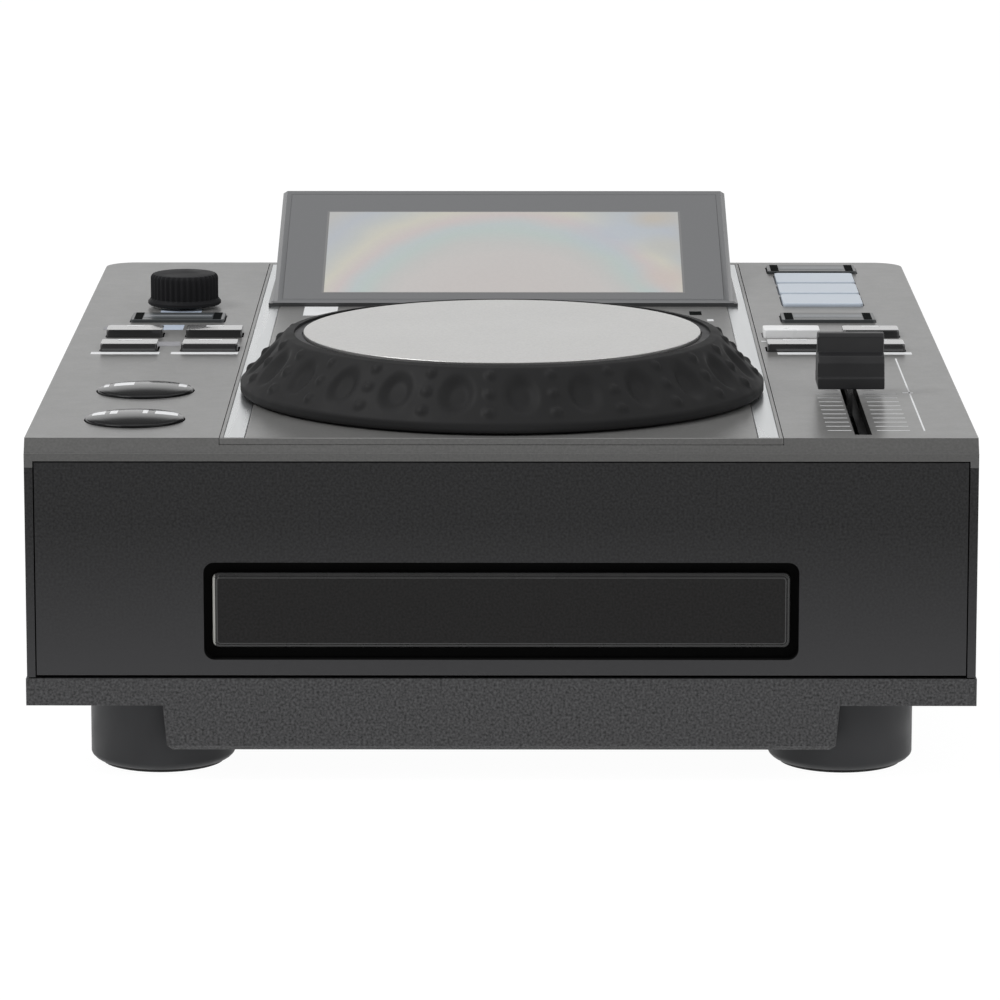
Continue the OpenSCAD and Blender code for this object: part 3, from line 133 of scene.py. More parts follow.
class DiscPlayerColours(bpy.types.PropertyGroup):
    deck: paint("Deck", "Satin moulding of the deck", (0.159, 0.158, 0.155))
    panel: paint("Front panel", "Moulding of the front", (0.016, 0.016, 0.0168))
    base: paint("Base", "Moulding of the base", (0.065, 0.065, 0.067))
    foot: paint("Foot", "Moulding of the feet", (0.05, 0.051, 0.054))
    silver: paint("Silver", "Trim strips", (0.77, 0.79, 0.8))
    plate: paint("Plate", "Jog wheel's plate", (0.8, 0.795, 0.78))
    rubber: paint("Rubber", "Jog wheel's ring", (0.019, 0.019, 0.0195))
    black: paint("Black", "Keys, knob and fader cap", (0.012, 0.012, 0.013))
    pad: paint("Pad", "Pale pads", (0.56, 0.63, 0.72))
    ink: paint("Ink", "Printed marks", (0.9, 0.91, 0.92))


def sizes():
    return bpy.context.scene.disc_player_sizes


def colours():
    return bpy.context.scene.disc_player_colours


# ---------------------------------------------------------------- nodes


def feed(tree, socket, value):
    """Links a socket to another one, or sets its value."""
    if isinstance(value, bpy.types.NodeSocket):
        tree.links.new(value, socket)
    else:
        socket.default_value = value


def add_node(tree, kind, *feeds, **values):
    """Adds a node, sets its named properties and sockets, and feeds its first sockets in order."""
    made = tree.nodes.new(kind)
    for key, value in values.items():
        if hasattr(made, key):
            setattr(made, key, value)
        else:
            feed(tree, made.inputs[key.replace("_", " ")], value)
    for socket, value in zip(made.inputs, feeds):
        feed(tree, socket, value)
    return made


def arithmetic(tree, operation, *feeds):
    return add_node(tree, "ShaderNodeMath", *feeds, operation=operation).outputs[0]


def ramp(tree, value, stops):
    """A colour that runs through (place, colour) stops as a value rises."""
    made = add_node(tree, "ShaderNodeValToRGB", value)
    for place, _ in stops[1:-1]:
        made.color_ramp.elements.new(place)
    for element, (place, colour) in zip(made.color_ramp.elements, stops):
        element.position = place
        element.color = (*colour, 1.0)
    return made.outputs["Color"]


def cleared(owner, output):
    """Empties the tree of a material or a world, and returns it with its new output's socket."""
    owner.use_nodes = True
    owner.node_tree.nodes.clear()
    return owner.node_tree, owner.node_tree.nodes.new(output).inputs[0]


# ---------------------------------------------------------------- finishes

FINISHES = {}
PATCHES = (0.3, 0.7)  # the part of a noise's range between its dark and its light patches


class Finish:
    """Builds a material: a Principled shader with patterns in object space."""

    def __init__(self, name, colour, roughness, metallic=0.0, specular=0.5, coat=0.0, ior=1.5):
        FINISHES[name] = bpy.data.materials.new(name)
        self.tree, out = cleared(FINISHES[name], "ShaderNodeOutputMaterial")
        self.paint = (*colour, 1.0)
        self.roughness = roughness
        self.shader = self.node(
            "ShaderNodeBsdfPrincipled", Base_Color=self.paint, Roughness=roughness, Metallic=metallic,
            Specular_IOR_Level=specular, Coat_Weight=coat, IOR=ior,
        )
        feed(self.tree, out, self.shader.outputs[0])
        self.coordinates = self.node("ShaderNodeTexCoord").outputs["Object"]
        self.relief = None

    def node(self, kind, *feeds, **values):
        return add_node(self.tree, kind, *feeds, **values)

    def mapped(self, centre=(0, 0, 0), scale=(1, 1, 1)):
        """Object coordinates moved to a centre and stretched."""
        move = self.node("ShaderNodeVectorMath", self.coordinates, centre, operation="SUBTRACT")
        return self.node("ShaderNodeMapping", move.outputs[0], Scale=scale).outputs[0]

    def reach(self, centre, scale=(1, 1, 0)):
        """Distance from an upright axis, in stretched coordinates."""
        place = self.mapped(centre, scale)
        return self.node("ShaderNodeVectorMath", place, operation="LENGTH").outputs["Value"]

    def noise(self, grain, detail=2.0, vector=None):
        """Noise whose lumps are about a grain across."""
        vector = vector or self.coordinates
        return self.node("ShaderNodeTexNoise", vector, Scale=1 / grain, Detail=detail).outputs["Fac"]

    def pebbles(self, grain):
        """Rounded cells about a grain across."""
        return self.node(
            "ShaderNodeTexVoronoi", self.coordinates, feature="SMOOTH_F1", Scale=1 / grain, Smoothness=0.6
        ).outputs["Distance"]

    def ranged(self, value, low, high, start=0.0, end=1.0):
        """Carries a value's range from start to end over to low to high, and holds it there."""
        return self.node(
            "ShaderNodeMapRange", value, From_Min=start, From_Max=end, To_Min=low, To_Max=high
        ).outputs[0]

    def mixed(self, factor, first, second, kind="MIX"):
        """A colour between two, which are colours or sockets."""
        made = self.node("ShaderNodeMix", factor, data_type="RGBA", blend_type=kind)
        colour_sockets = made.inputs[6:8]
        for socket, value in zip(colour_sockets, (first, second)):
            feed(self.tree, socket, value if isinstance(value, bpy.types.NodeSocket) else (*value, 1.0)[:4])
        return made.outputs[2]

    def painted(self, paint):
        self.paint = paint
        feed(self.tree, self.shader.inputs["Base Color"], paint)
        return self

    def tinted(self, colour, factor):
        """Lays a colour over what is there, by a factor."""
        return self.painted(self.mixed(factor, self.paint, colour))

    def mottled(self, grain, amount, detail=3.0, vector=None):
        """Lighter and darker patches."""
        level = self.ranged(self.noise(grain, detail, vector), 1 - amount, 1 + amount, *PATCHES)
        return self.painted(self.mixed(1.0, self.paint, level, "MULTIPLY"))

    def uneven(self, grain, amount, vector=None):
        """Roughness that wanders, as handled plastic's does."""
        noise = self.noise(grain, 3.0, vector)
        level = self.ranged(noise, self.roughness - amount, self.roughness + amount, *PATCHES)
        feed(self.tree, self.shader.inputs["Roughness"], level)
        return self

    def raised(self, height, depth):
        """Adds a relief of a given depth to the surface."""
        bump = self.node("ShaderNodeBump", Distance=depth, Height=height)
        if self.relief:
            feed(self.tree, bump.inputs["Normal"], self.relief)
        self.relief = bump.outputs[0]
        feed(self.tree, self.shader.inputs["Normal"], self.relief)
        return self


def pebbled(name, colour, roughness, depth=0.00002, mottle=0.12, **options):
    """Moulded plastic with the fine pebbles of a spark-eroded tool."""
    grain = 0.0007
    finish = Finish(name, colour, roughness, **options)
    finish.mottled(0.0006, mottle).mottled(0.03, 0.02).uneven(0.004, 0.015)
    return finish.raised(finish.pebbles(grain), depth).raised(finish.noise(grain / 2.5), depth / 3)


def satin(name, colour, roughness, grain=0.0004, depth=0.000003, **options):
    """Smooth moulded plastic with faint flow marks and fine scuffs."""
    finish = Finish(name, colour, roughness, **options)
    finish.mottled(0.012, 0.06).uneven(0.006, min(0.06, roughness / 2))
    return finish.raised(finish.noise(grain), depth)


def hazed(finish):
    """Adds a trace of polishing haze."""
    finish.mottled(0.0008, 0.015, 2.0)
    return finish.raised(finish.noise(0.0015, 1.0), 0.0000006)


def glossy(name, colour, roughness, **options):
    """Clear-lacquered or polished plastic."""
    return hazed(Finish(name, colour, roughness, **options))


def metal(name, colour, roughness, stretch=(1, 1, 1), grain=0.0003, depth=0.000004, mottle=0.06, wander=0.08):
    """Metal with grinding or rolling marks drawn out along one direction."""
    finish = Finish(name, colour, roughness, metallic=1.0)
    along = finish.mapped(scale=stretch)
    finish.mottled(0.002, mottle, vector=along).uneven(0.003, min(wander, roughness / 2), along)
    return finish.raised(finish.noise(grain, vector=along), depth)


def turned(name, colour, roughness, centre):
    """Metal with the fine circles of a lathe round an upright axis."""
    grain, depth = 0.00025, 0.000006
    finish = Finish(name, colour, roughness, metallic=1.0)
    circles = finish.node(
        "ShaderNodeTexNoise", noise_dimensions="1D", W=finish.reach(centre), Scale=1 / grain, Detail=3.0
    )
    finish.mottled(0.0006, 0.06, 4.0).mottled(0.02, 0.02).uneven(0.01, 0.008)
    return finish.raised(circles.outputs["Fac"], depth)


def laminate(name, colour, roughness):
    """Circuit board with solder mask over copper tracks."""
    finish = Finish(name, colour, roughness)
    tracks = finish.node("ShaderNodeTexBrick", finish.coordinates, Scale=90.0, Mortar_Size=0.012, Bias=0.1)
    over_copper = [min(1, c * 2.4 + 0.01) for c in colour]
    finish.tinted(over_copper, tracks.outputs["Fac"]).mottled(0.004, 0.08)
    return finish.raised(tracks.outputs["Fac"], 0.00002)


def panel_finish():
    """The front panel's moulding, with a painted reflection of the pale floor that makes it paler towards its
    lower edge.
    """
    colour = colours().panel
    paler, reach = 3, 0.036
    finish = pebbled("panel_plastic", colour, 0.5, specular=0.3, mottle=0.7)
    height = finish.node("ShaderNodeSeparateXYZ", finish.coordinates).outputs["Z"]
    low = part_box("front_panel")[0].z
    return finish.tinted([c * paler for c in colour], finish.ranged(height, 1.0, 0.0, low, low + reach))


def round_finish():
    """Smoked gloss with a broken row of white marks behind the middle of each round button."""
    white, behind, half_height = (0.8, 0.81, 0.83), 0.0031, 0.0028
    finish = Finish("round_plastic", (0.01, 0.01, 0.0105), 0.12, specular=0.15)
    for node, spans in (
        ("cue_button", ((-10.2, -9.0), (-7.8, -2.8), (8.0, 10.0))),
        ("play_button", ((-10.2, -7.1), (-6.0, -4.2), (1.8, 3.0), (4.7, 10.2))),
    ):
        for start, end in spans:
            centre = middle(node) + Vector(((start + end) / 2 * MM, behind, 0))
            place = finish.mapped(centre, (2 / (end - start) / MM, 1 / half_height, 0))
            shape = finish.node("ShaderNodeVectorMath", place, operation="ABSOLUTE")
            sides = finish.node("ShaderNodeSeparateXYZ", shape.outputs[0]).outputs
            edge = arithmetic(finish.tree, "MAXIMUM", sides["X"], sides["Y"])
            finish.tinted(white, finish.ranged(edge, 1.0, 0.0, 0.95, 1.02))
    return hazed(finish)


def screen_finish():
    """The resting display: a painted reflection of the pale surroundings, with the soft bands that its
    polarising film shows in it.
    """
    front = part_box("display_glass")[0].y
    focus = Vector((middle("display_glass").x, front - 0.0184, 0))
    finish = Finish("screen_film", (0.56, 0.56, 0.55), 0.35, specular=0.4)
    ripple = finish.ranged(finish.noise(0.02), -0.006, 0.006)
    wave = arithmetic(finish.tree, "ADD", finish.reach(focus, (2.5, 1.6, 0.0)), ripple)
    finish.painted(ramp(finish.tree, finish.ranged(wave, 0, 1, 0, 0.165), (
        (0.0, (0.6, 0.57, 0.55)), (0.3, (0.6, 0.565, 0.55)), (0.48, (0.6, 0.575, 0.56)),
        (0.54, (0.57, 0.57, 0.555)), (0.61, (0.52, 0.59, 0.57)), (0.65, (0.53, 0.585, 0.59)),
        (0.71, (0.62, 0.56, 0.55)), (0.77, (0.64, 0.62, 0.54)), (0.84, (0.54, 0.56, 0.55)),
        (0.91, (0.5, 0.53, 0.57)), (1.0, (0.53, 0.53, 0.52)),
    )))
    for across, along, radius, colour in (
        (0.0316, 0.043, 0.017, (0.5, 0.55, 0.62)), (0.0445, 0.034, 0.009, (0.54, 0.54, 0.51)),
        (0.044, 0.0135, 0.01, (0.63, 0.55, 0.51)), (0.041, 0.0525, 0.008, (0.56, 0.51, 0.44)),
    ):
        near = finish.reach((focus.x + across, front + along, 0))
        finish.tinted(colour, finish.ranged(near, 0.85, 0.0, radius * 0.2, radius))
    finish.mottled(0.001, 0.015)
    return finish.raised(finish.noise(0.0006), 0.000001)


def make_finishes():
    """Makes every finish: rows of a name, a colour, a roughness and what else sets it apart."""
    c = colours()
    dull, coarse = {"specular": 0.3}, {"grain": 0.0006, "depth": 0.00001}
    lying, standing = {"stretch": (0.1, 1, 1)}, {"stretch": (1, 1, 0.1)}
    table = {
        pebbled: (
            ("deck_plastic", c.deck, 0.31, {"depth": 0.00001, "specular": 0.95, "ior": 1.7}),
            # a darker copy of the deck's moulding: painted shade on the front edges, which face away from the
            # light above
            ("lip_plastic", [k * 0.695 for k in c.deck], 0.45, {"depth": 0.00001, "specular": 0.4}),
            ("base_plastic", c.base, 0.5, {"specular": 0.3, "mottle": 0.7}),
            ("door_plastic", (0.0095, 0.009, 0.009), 0.32, {
                "depth": 0.000005, "specular": 0.2, "mottle": 0.5,
            }),
        ),
        satin: (
            ("foot_plastic", c.foot, 0.5, {"specular": 0.3, "grain": 0.0005, "depth": 0.00001}),
            ("foot_pad", (0.006, 0.006, 0.006), 0.7, {"specular": 0.2}),
            ("jog_rubber", c.rubber, 0.6, {"specular": 0.15, "grain": 0.0005, "depth": 0.000012}),
            ("knob_plastic", [k * 1.6 for k in c.black], 0.5, {"specular": 0.05}),
            ("cap_plastic", [k * 1.5 for k in c.black], 0.4),
            ("white_key_plastic", (0.93, 0.935, 0.94), 0.3),
            ("slim_end", (0.006, 0.007, 0.007), 0.9, {"specular": 0.03}),
            # painted highlight on the door's left edge and a fainter painted sheen on its other edges
            ("door_edge", (0.6, 0.6, 0.56), 0.3, {"depth": 0.000001}),
            ("door_rim", (0.045, 0.045, 0.045), 0.3, {"depth": 0.000001}),
            ("tray_plastic", (0.012, 0.012, 0.013), 0.45, coarse),
            ("inner_plastic", (0.02, 0.02, 0.022), 0.5, coarse),
            # near-black: painted shade for the insides of openings and recesses
            ("hole_plastic", (0.008, 0.008, 0.008), 0.8, {"specular": 0.05, **coarse}),
            ("turntable_plastic", (0.03, 0.03, 0.033), 0.5, {"grain": 0.0005, "depth": 0.00001}),
            ("socket_plastic", (0.01, 0.01, 0.01), 0.35),
            ("rocker_plastic", (0.013, 0.013, 0.013), 0.25),
            ("gear_plastic", (0.65, 0.62, 0.52), 0.4),
            ("white_plastic", (0.7, 0.7, 0.68), 0.4),
            ("belt_rubber", (0.01, 0.01, 0.01), 0.7, {"specular": 0.2, "depth": 0.00001}),
            ("rear_steel", (0.02, 0.02, 0.021), 0.5, {"grain": 0.0008, "depth": 0.00001}),
            ("white_ink", c.ink, 0.5, dull),
            ("blue_ink", (0.5, 0.57, 0.68), 0.5, dull),
            ("grey_ink", (0.32, 0.32, 0.34), 0.5, dull),
        ),
        glossy: (
            ("display_plastic", (0.139, 0.142, 0.148), 0.3),
            ("display_glass", (0.139, 0.142, 0.148), 0.3),
            # painted shade for the housing's foot where it meets the deck
            ("display_foot", (0.045, 0.046, 0.048), 0.35),
            ("screen_edge", (0.2, 0.2, 0.2), 0.35),
            ("key_plastic", c.black, 0.14, {"specular": 1.0, "coat": 0.7}),
            ("pad_plastic", c.pad, 0.3),
            ("slim_plastic", (0.06, 0.065, 0.068), 0.3, {"specular": 0.35}),
            ("slim_bar", (0.13, 0.145, 0.155), 0.3, {"specular": 0.35}),
        ),
        metal: (
            ("trim_silver", c.silver, 0.28, {
                "stretch": (1, 0.06, 1), "depth": 0.0000006, "mottle": 0.02, "wander": 0.015,
            }),
            ("rear_steel_bright", (0.45, 0.45, 0.46), 0.35, lying),
            ("lcd_metal", (0.5, 0.5, 0.52), 0.35, lying),
            ("screw_steel", (0.5, 0.5, 0.51), 0.3),
            ("shaft_steel", (0.55, 0.55, 0.56), 0.22, standing),
            ("motor_steel", (0.5, 0.5, 0.51), 0.3, standing),
            ("cast_metal", (0.4, 0.4, 0.41), 0.5, {"grain": 0.0007, "depth": 0.00002}),
            ("pulley_brass", (0.6, 0.45, 0.2), 0.3),
        ),
        turned: (("jog_plate_metal", c.plate, 0.34, {"centre": middle("jog_plate")}),),
        laminate: (("board_laminate", (0.02, 0.1, 0.045), 0.35),),
    }
    for make, rows in table.items():
        for name, colour, roughness, *options in rows:
            make(name, colour, roughness, **dict(*options))
    panel_finish()
    round_finish()
    screen_finish()


# ---------------------------------------------------------------- meshes


def placed(name, data):
    """Adds an object to the scene, at the origin."""
    made = bpy.data.objects.new(name, data)
    bpy.context.scene.collection.objects.link(made)
    return made


def link(name, mesh, node, materials, stands=False):
    """Makes a piece that rides with a CAD node, has its slot and may stand for it."""
    piece = placed(name, mesh)
    mesh.materials.clear()
    for material in materials:
        mesh.materials.append(FINISHES[material])
    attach(piece, NODES[node]["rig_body"])
    if stands:
        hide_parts(node)
    return piece


def plain_mesh(name, bm):
    mesh = bpy.data.meshes.new(name)
    bm.to_mesh(mesh)
    bm.free()
    return mesh


def to_mesh(name, bm, smooth=math.radians(35)):
    """A smooth-shaded mesh with the edges beyond an angle left sharp."""
    mesh = plain_mesh(name, bm)
    mesh.shade_smooth()
    mesh.set_sharp_from_angle(angle=smooth)
    return mesh


def applied(carrier):
    """Takes the plain mesh that a carrier's modifiers make, and removes the carrier."""
    bpy.context.view_layer.update()
    shape = carrier.evaluated_get(bpy.context.evaluated_depsgraph_get())
    mesh = bpy.data.meshes.new_from_object(shape)
    carrier.modifiers.clear()
    bpy.data.objects.remove(carrier)
    return mesh


def settled(mesh):
    """Turns the normals towards the large faces, so that rounded edges don't shade the flats."""
    holder = placed("holder", mesh)
    holder.modifiers.new("weigh", "WEIGHTED_NORMAL").keep_sharp = True
    return applied(holder)


def merged(node):
    """A CAD node's solid with its loose triangles joined into flat faces."""
    bm = bmesh.new()
    bm.from_mesh(NODES[node].data)
    bmesh.ops.remove_doubles(bm, verts=bm.verts, dist=1e-6)
    bmesh.ops.dissolve_limit(bm, angle_limit=math.radians(0.6), verts=bm.verts, edges=bm.edges)
    return bm


def rounded(bm, width, segments=2, angle=30, keep=()):
    """Rounds the edges that are sharper than an angle and don't lie in a kept box."""
    sharp = [e for e in bm.edges if e.is_manifold and e.calc_face_angle(0) > math.radians(angle)]
    if keep:
        low, high = keep
        slack = 0.0004
        sharp = [e for e in sharp if not all(
            all(low[i] - slack < v.co[i] < high[i] + slack for i in (0, 1)) for v in e.verts
        )]
    bmesh.ops.bevel(
        bm, geom=sharp, offset=width, offset_type="OFFSET", segments=segments, profile=0.5,
        affect="EDGES", clamp_overlap=True, loop_slide=True,
    )


def dressed(node, width, materials=None, segments=2, angle=30, keep=(), split=None):
    """Stands a copy with rounded edges for a CAD node, with the edges inside a kept box left sharp.

    A split is a height at which the upright faces are parted, so that each part can have its own finish.
    """
    name = node + "_moulding"
    bm = merged(node)
    if split:
        everything = bm.verts[:] + bm.edges[:] + bm.faces[:]
        bmesh.ops.bisect_plane(bm, geom=everything, plane_co=(0, 0, split), plane_no=(0, 0, 1))
    rounded(bm, width, segments, angle, keep)
    return link(name, settled(to_mesh(name, bm)), node, materials or [SLOTS[node]], stands=True)


def finished(*names, material=None):
    """Gives a finish to CAD nodes that stay as they are."""
    for name in names:
        mesh = NODES[name].data
        mesh.materials.clear()
        mesh.materials.append(FINISHES[material or SLOTS[name]])


def turned_body(profile, axis, segments, flutes=0):
    """Turns an outline of (radius, height, flute depth) points round an upright axis."""
    bm = bmesh.new()
    rows = []
    for radius, z, cut in profile:
        if radius == 0:
            rows.append([bm.verts.new((axis.x, axis.y, z))] * segments)
            continue
        row = []
        for i in range(segments):
            angle = math.tau * i / segments
            wave = 0.5 - 0.5 * math.cos(flutes * angle)
            r = radius - cut * wave
            row.append(bm.verts.new((axis.x + r * math.cos(angle), axis.y + r * math.sin(angle), z)))
        rows.append(row)
    for low, high in zip(rows, rows[1:]):
        for i in range(segments):
            j = (i + 1) % segments
            corners = [low[i], low[j], high[j], high[i]]
            bm.faces.new(list(dict.fromkeys(corners)))
    bmesh.ops.recalc_face_normals(bm, faces=bm.faces)
    return bm


def slab(bm, low, high):
    """Adds a closed box between two corners."""
    low, high = Vector(low), Vector(high)
    for v in bmesh.ops.create_cube(bm, size=1.0)["verts"]:
        v.co = (low + high) / 2 + Vector(a * b for a, b in zip(v.co, high - low))


# ---------------------------------------------------------------- geometry nodes


class Tree:
    """A geometry node tree with named size inputs, ending in Realize Instances and Set Material."""

    def __init__(self, name, inputs):
        self.group = bpy.data.node_groups.new(name, "GeometryNodeTree")
        face = self.group.interface
        face.new_socket("Geometry", in_out="OUTPUT", socket_type="NodeSocketGeometry")
        face.new_socket("Piece", in_out="INPUT", socket_type="NodeSocketObject")
        for label, value in inputs.items():
            kind = {int: "NodeSocketInt", float: "NodeSocketFloat"}.get(type(value), "NodeSocketVector")
            face.new_socket(label, in_out="INPUT", socket_type=kind)
        self.inputs = inputs
        self.given = self.group.nodes.new("NodeGroupInput").outputs
        self.out = self.group.nodes.new("NodeGroupOutput").inputs[0]

    def add(self, kind, *feeds, **values):
        """Adds a node and returns its first output."""
        return add_node(self.group, kind, *feeds, **values).outputs[0]

    def finish(self, points, turn, material):
        """Puts the piece on the points, turned, and gives it its material."""
        piece = add_node(self.group, "GeometryNodeObjectInfo", self.given["Piece"]).outputs["Geometry"]
        copies = self.add("GeometryNodeInstanceOnPoints", Points=points, Instance=piece, Rotation=turn)
        real = self.add("GeometryNodeRealizeInstances", Geometry=copies)
        coated = self.add("GeometryNodeSetMaterial", Geometry=real, Material=FINISHES[material])
        feed(self.group, self.out, coated)

    def grow(self, unit):
        """Runs the tree on a unit mesh and returns the result as a plain mesh."""
        carrier = placed("carrier", bpy.data.meshes.new("carrier"))
        seed = placed("unit", unit)
        modifier = carrier.modifiers.new("repeat", "NODES")
        modifier.node_group = self.group
        for item in self.group.interface.items_tree:
            if item.item_type == "SOCKET" and item.in_out == "INPUT":
                modifier[item.identifier] = seed if item.name == "Piece" else self.inputs[item.name]
        mesh = applied(carrier)
        bpy.data.objects.remove(seed)
        return mesh


def repeated_round(name, unit, count, centre, radius, turn, material):
    """Copies of a unit round an upright axis, each turned to face outwards."""
    tree = Tree(name, {"Count": count, "Radius": radius, "Turn": turn})
    count, radius, turn = (tree.given[label] for label in ("Count", "Radius", "Turn"))
    circle = tree.add("GeometryNodeMeshCircle", Vertices=count, Radius=radius)
    index = tree.add("GeometryNodeInputIndex")
    step = arithmetic(tree.group, "DIVIDE", math.tau, count)
    spin = tree.add("ShaderNodeCombineXYZ", Z=arithmetic(tree.group, "MULTIPLY_ADD", index, step, turn))
    whole = tree.add("ShaderNodeCombineXYZ", Z=turn)
    tree.finish(tree.add("GeometryNodeTransform", Geometry=circle, Rotation=whole), spin, material)
    mesh = tree.grow(unit)
    mesh.transform(Matrix.Translation(centre))
    return mesh


def repeated_along(name, unit, count, start, step, material):
    """Copies of a unit in a straight row."""
    tree = Tree(name, {"Count": count, "Start": tuple(start), "Step": tuple(step)})
    count, start, step = (tree.given[label] for label in ("Count", "Start", "Step"))
    row = tree.add("GeometryNodeMeshLine", Count=count, Start_Location=start, Offset=step)
    tree.finish(row, (0, 0, 0), material)
    return tree.grow(unit)


# ---------------------------------------------------------------- pieces


class DISCPLAYER_OT_stage(bpy.types.Operator):
    """Builds the floor, the soft lights and the camera"""

    bl_idname = "disc_player.stage"
    bl_label = "Stage"

    def execute(self, context):
        context.scene.view_settings.view_transform = "Standard"
        make_finishes()
        self.camera(context.scene)
        self.world(context.scene)
        self.floor()
        self.lamp("key_lamp", (-1.1, -0.5, 1.5), 1.0, 16)
        self.lamp("fill_lamp", (1.2, -0.9, 1.0), 1.2, 5)
        return {"FINISHED"}

    def camera(self, scene):
        """A long lens in front of the player, looking a little down on it."""
        fall, turn = math.radians(10.851), math.radians(0.163)
        camera = placed("camera", bpy.data.cameras.new("camera"))
        camera.data.lens = 203.9
        camera.data.sensor_width = 36.0
        camera.data.clip_end = 50
        camera.location = (0.00338, -1.4378, 0.3158)
        camera.rotation_euler = (math.pi / 2 - fall, 0, turn)
        scene.camera = camera

    def lamp(self, name, place, width, power):
        """A round soft light that looks at the middle of the player."""
        target = Vector((0, 0, 0.05))
        light = bpy.data.lights.new(name, "AREA")
        light.shape = "DISK"
        light.size = width
        light.energy = power
        lamp = placed(name, light)
        lamp.location = place
        lamp.rotation_euler = (target - Vector(place)).to_track_quat("-Z", "Y").to_euler()

    def world(self, scene):
        """A white surround that gloss sees in bands by height, dimmer in front, over a soft even light."""
        scene.world = bpy.data.worlds.new("studio")
        tree, out = cleared(scene.world, "ShaderNodeOutputWorld")
        way = add_node(tree, "ShaderNodeTexCoord").outputs["Generated"]
        split = add_node(tree, "ShaderNodeSeparateXYZ", way).outputs
        front = add_node(
            tree, "ShaderNodeMapRange", split["Y"], interpolation_type="SMOOTHSTEP",
            From_Min=-0.75, From_Max=0.15, To_Min=0.3, To_Max=1.0,
        ).outputs[0]
        bands = (
            (0.0, 1.0), (0.25, 1.0), (0.33, 0.12), (0.53, 0.12),
            (0.6, 1.0), (0.8, 1.0), (0.88, 0.6), (1.0, 0.6),
        )
        rise = ramp(tree, split["Z"], [(height, (shade,) * 3) for height, shade in bands])
        fall = arithmetic(tree, "MULTIPLY", front, rise)
        paths = add_node(tree, "ShaderNodeLightPath").outputs
        seen = arithmetic(tree, "MAXIMUM", paths["Is Camera Ray"], paths["Is Transmission Ray"])
        level = arithmetic(tree, "MAXIMUM", seen, fall)
        shown = arithmetic(tree, "MAXIMUM", seen, paths["Is Glossy Ray"])
        soft = add_node(tree, "ShaderNodeBackground", (1, 1, 1, 1), 0.45).outputs[0]
        white = add_node(tree, "ShaderNodeBackground", level, 1.0).outputs[0]
        feed(tree, out, add_node(tree, "ShaderNodeMixShader", shown, soft, white).outputs[0])

    def floor(self):
        """A wide sheet of white paper just under the feet, which glows where it is seen."""
        bm = bmesh.new()
        bmesh.ops.create_circle(bm, cap_ends=True, segments=96, radius=30)
        bmesh.ops.translate(bm, verts=bm.verts, vec=(0, 0, -0.0001))
        floor = placed("floor", plain_mesh("floor", bm))
        material = bpy.data.materials.new("floor_paper")
        tree, out = cleared(material, "ShaderNodeOutputMaterial")
        paths = add_node(tree, "ShaderNodeLightPath").outputs
        seen = arithmetic(tree, "MAXIMUM", paths["Is Camera Ray"], paths["Is Glossy Ray"])
        share = arithmetic(tree, "MULTIPLY", seen, 0.88)
        matt = add_node(tree, "ShaderNodeBsdfDiffuse", (0.8, 0.8, 0.8, 1)).outputs[0]
        glow = add_node(tree, "ShaderNodeEmission", Strength=1.1).outputs[0]
        feed(tree, out, add_node(tree, "ShaderNodeMixShader", share, matt, glow).outputs[0])
        floor.data.materials.append(material)


class DISCPLAYER_OT_case(bpy.types.Operator):
    """Rounds the cover, front panel, base and feet"""

    bl_idname = "disc_player.case"
    bl_label = "Case"

    def execute(self, context):
        edge = sizes().case_edge
        finishes = ["deck_plastic", "hole_plastic", "lip_plastic", "panel_plastic"]
        lip_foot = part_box("front_panel")[1].z - 0.0012
        cover = dressed("top_cover", edge, finishes, split=lip_foot)
        self.shade_inside(cover)
        centre = dressed("centre_panel", edge / 3, finishes, segments=1)
        for piece in (cover, centre):
            self.shade_lip(piece, lip_foot)
        dressed("base_pan", edge)
        self.shade_recess(dressed("front_panel", edge, ["panel_plastic", "hole_plastic"]))
        dressed("trim_strips", edge / 4, segments=1)
        self.darken_foot_bottoms(dressed("feet", edge, ["foot_plastic", "foot_pad"]))
        dressed("rear_panel", edge / 3, segments=1)
        return {"FINISHED"}

    def shade_inside(self, cover):
        """Paints shade on the cover's inside and on the walls of its openings."""
        wall, front_wall, skin, corner_reach = 0.0012, 0.0031, 0.0006, 0.006
        low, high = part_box("top_cover")
        for face in cover.data.polygons:
            spot = face.center
            within = abs(spot.x) < high.x - wall and low.y + front_wall < spot.y < high.y - wall
            at_corner = abs(spot.x) > high.x - corner_reach and spot.y > high.y - corner_reach
            outside = at_corner and face.normal.y > 0.1
            if within and not outside and spot.z < DECK - skin:
                face.material_index = 1

    def shade_lip(self, piece, lip_foot):
        """Paints shade on the front edges with a darker copy of the deck's moulding, and gives the ends of
        the side walls the panel's.
        """
        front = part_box("top_cover")[0].y + 0.004
        for face in piece.data.polygons:
            if face.normal.y < -0.6 and face.center.y < front:
                face.material_index = 2 if face.center.z > lip_foot else 3

    def shade_recess(self, panel):
        """Paints shade into the recess round the door."""
        gap, skin = 0.004, 0.0006
        low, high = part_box("tray_door")
        for face in panel.data.polygons:
            spot = face.center
            near = low.x - gap < spot.x < high.x + gap and low.z - gap < spot.z < high.z + gap
            if near and spot.y > FRONT + skin:
                face.material_index = 1

    def darken_foot_bottoms(self, feet):
        """Darkens the lowest millimetre of each foot."""
        dark_top = 0.00095
        for face in feet.data.polygons:
            if face.center.z < dark_top:
                face.material_index = 1


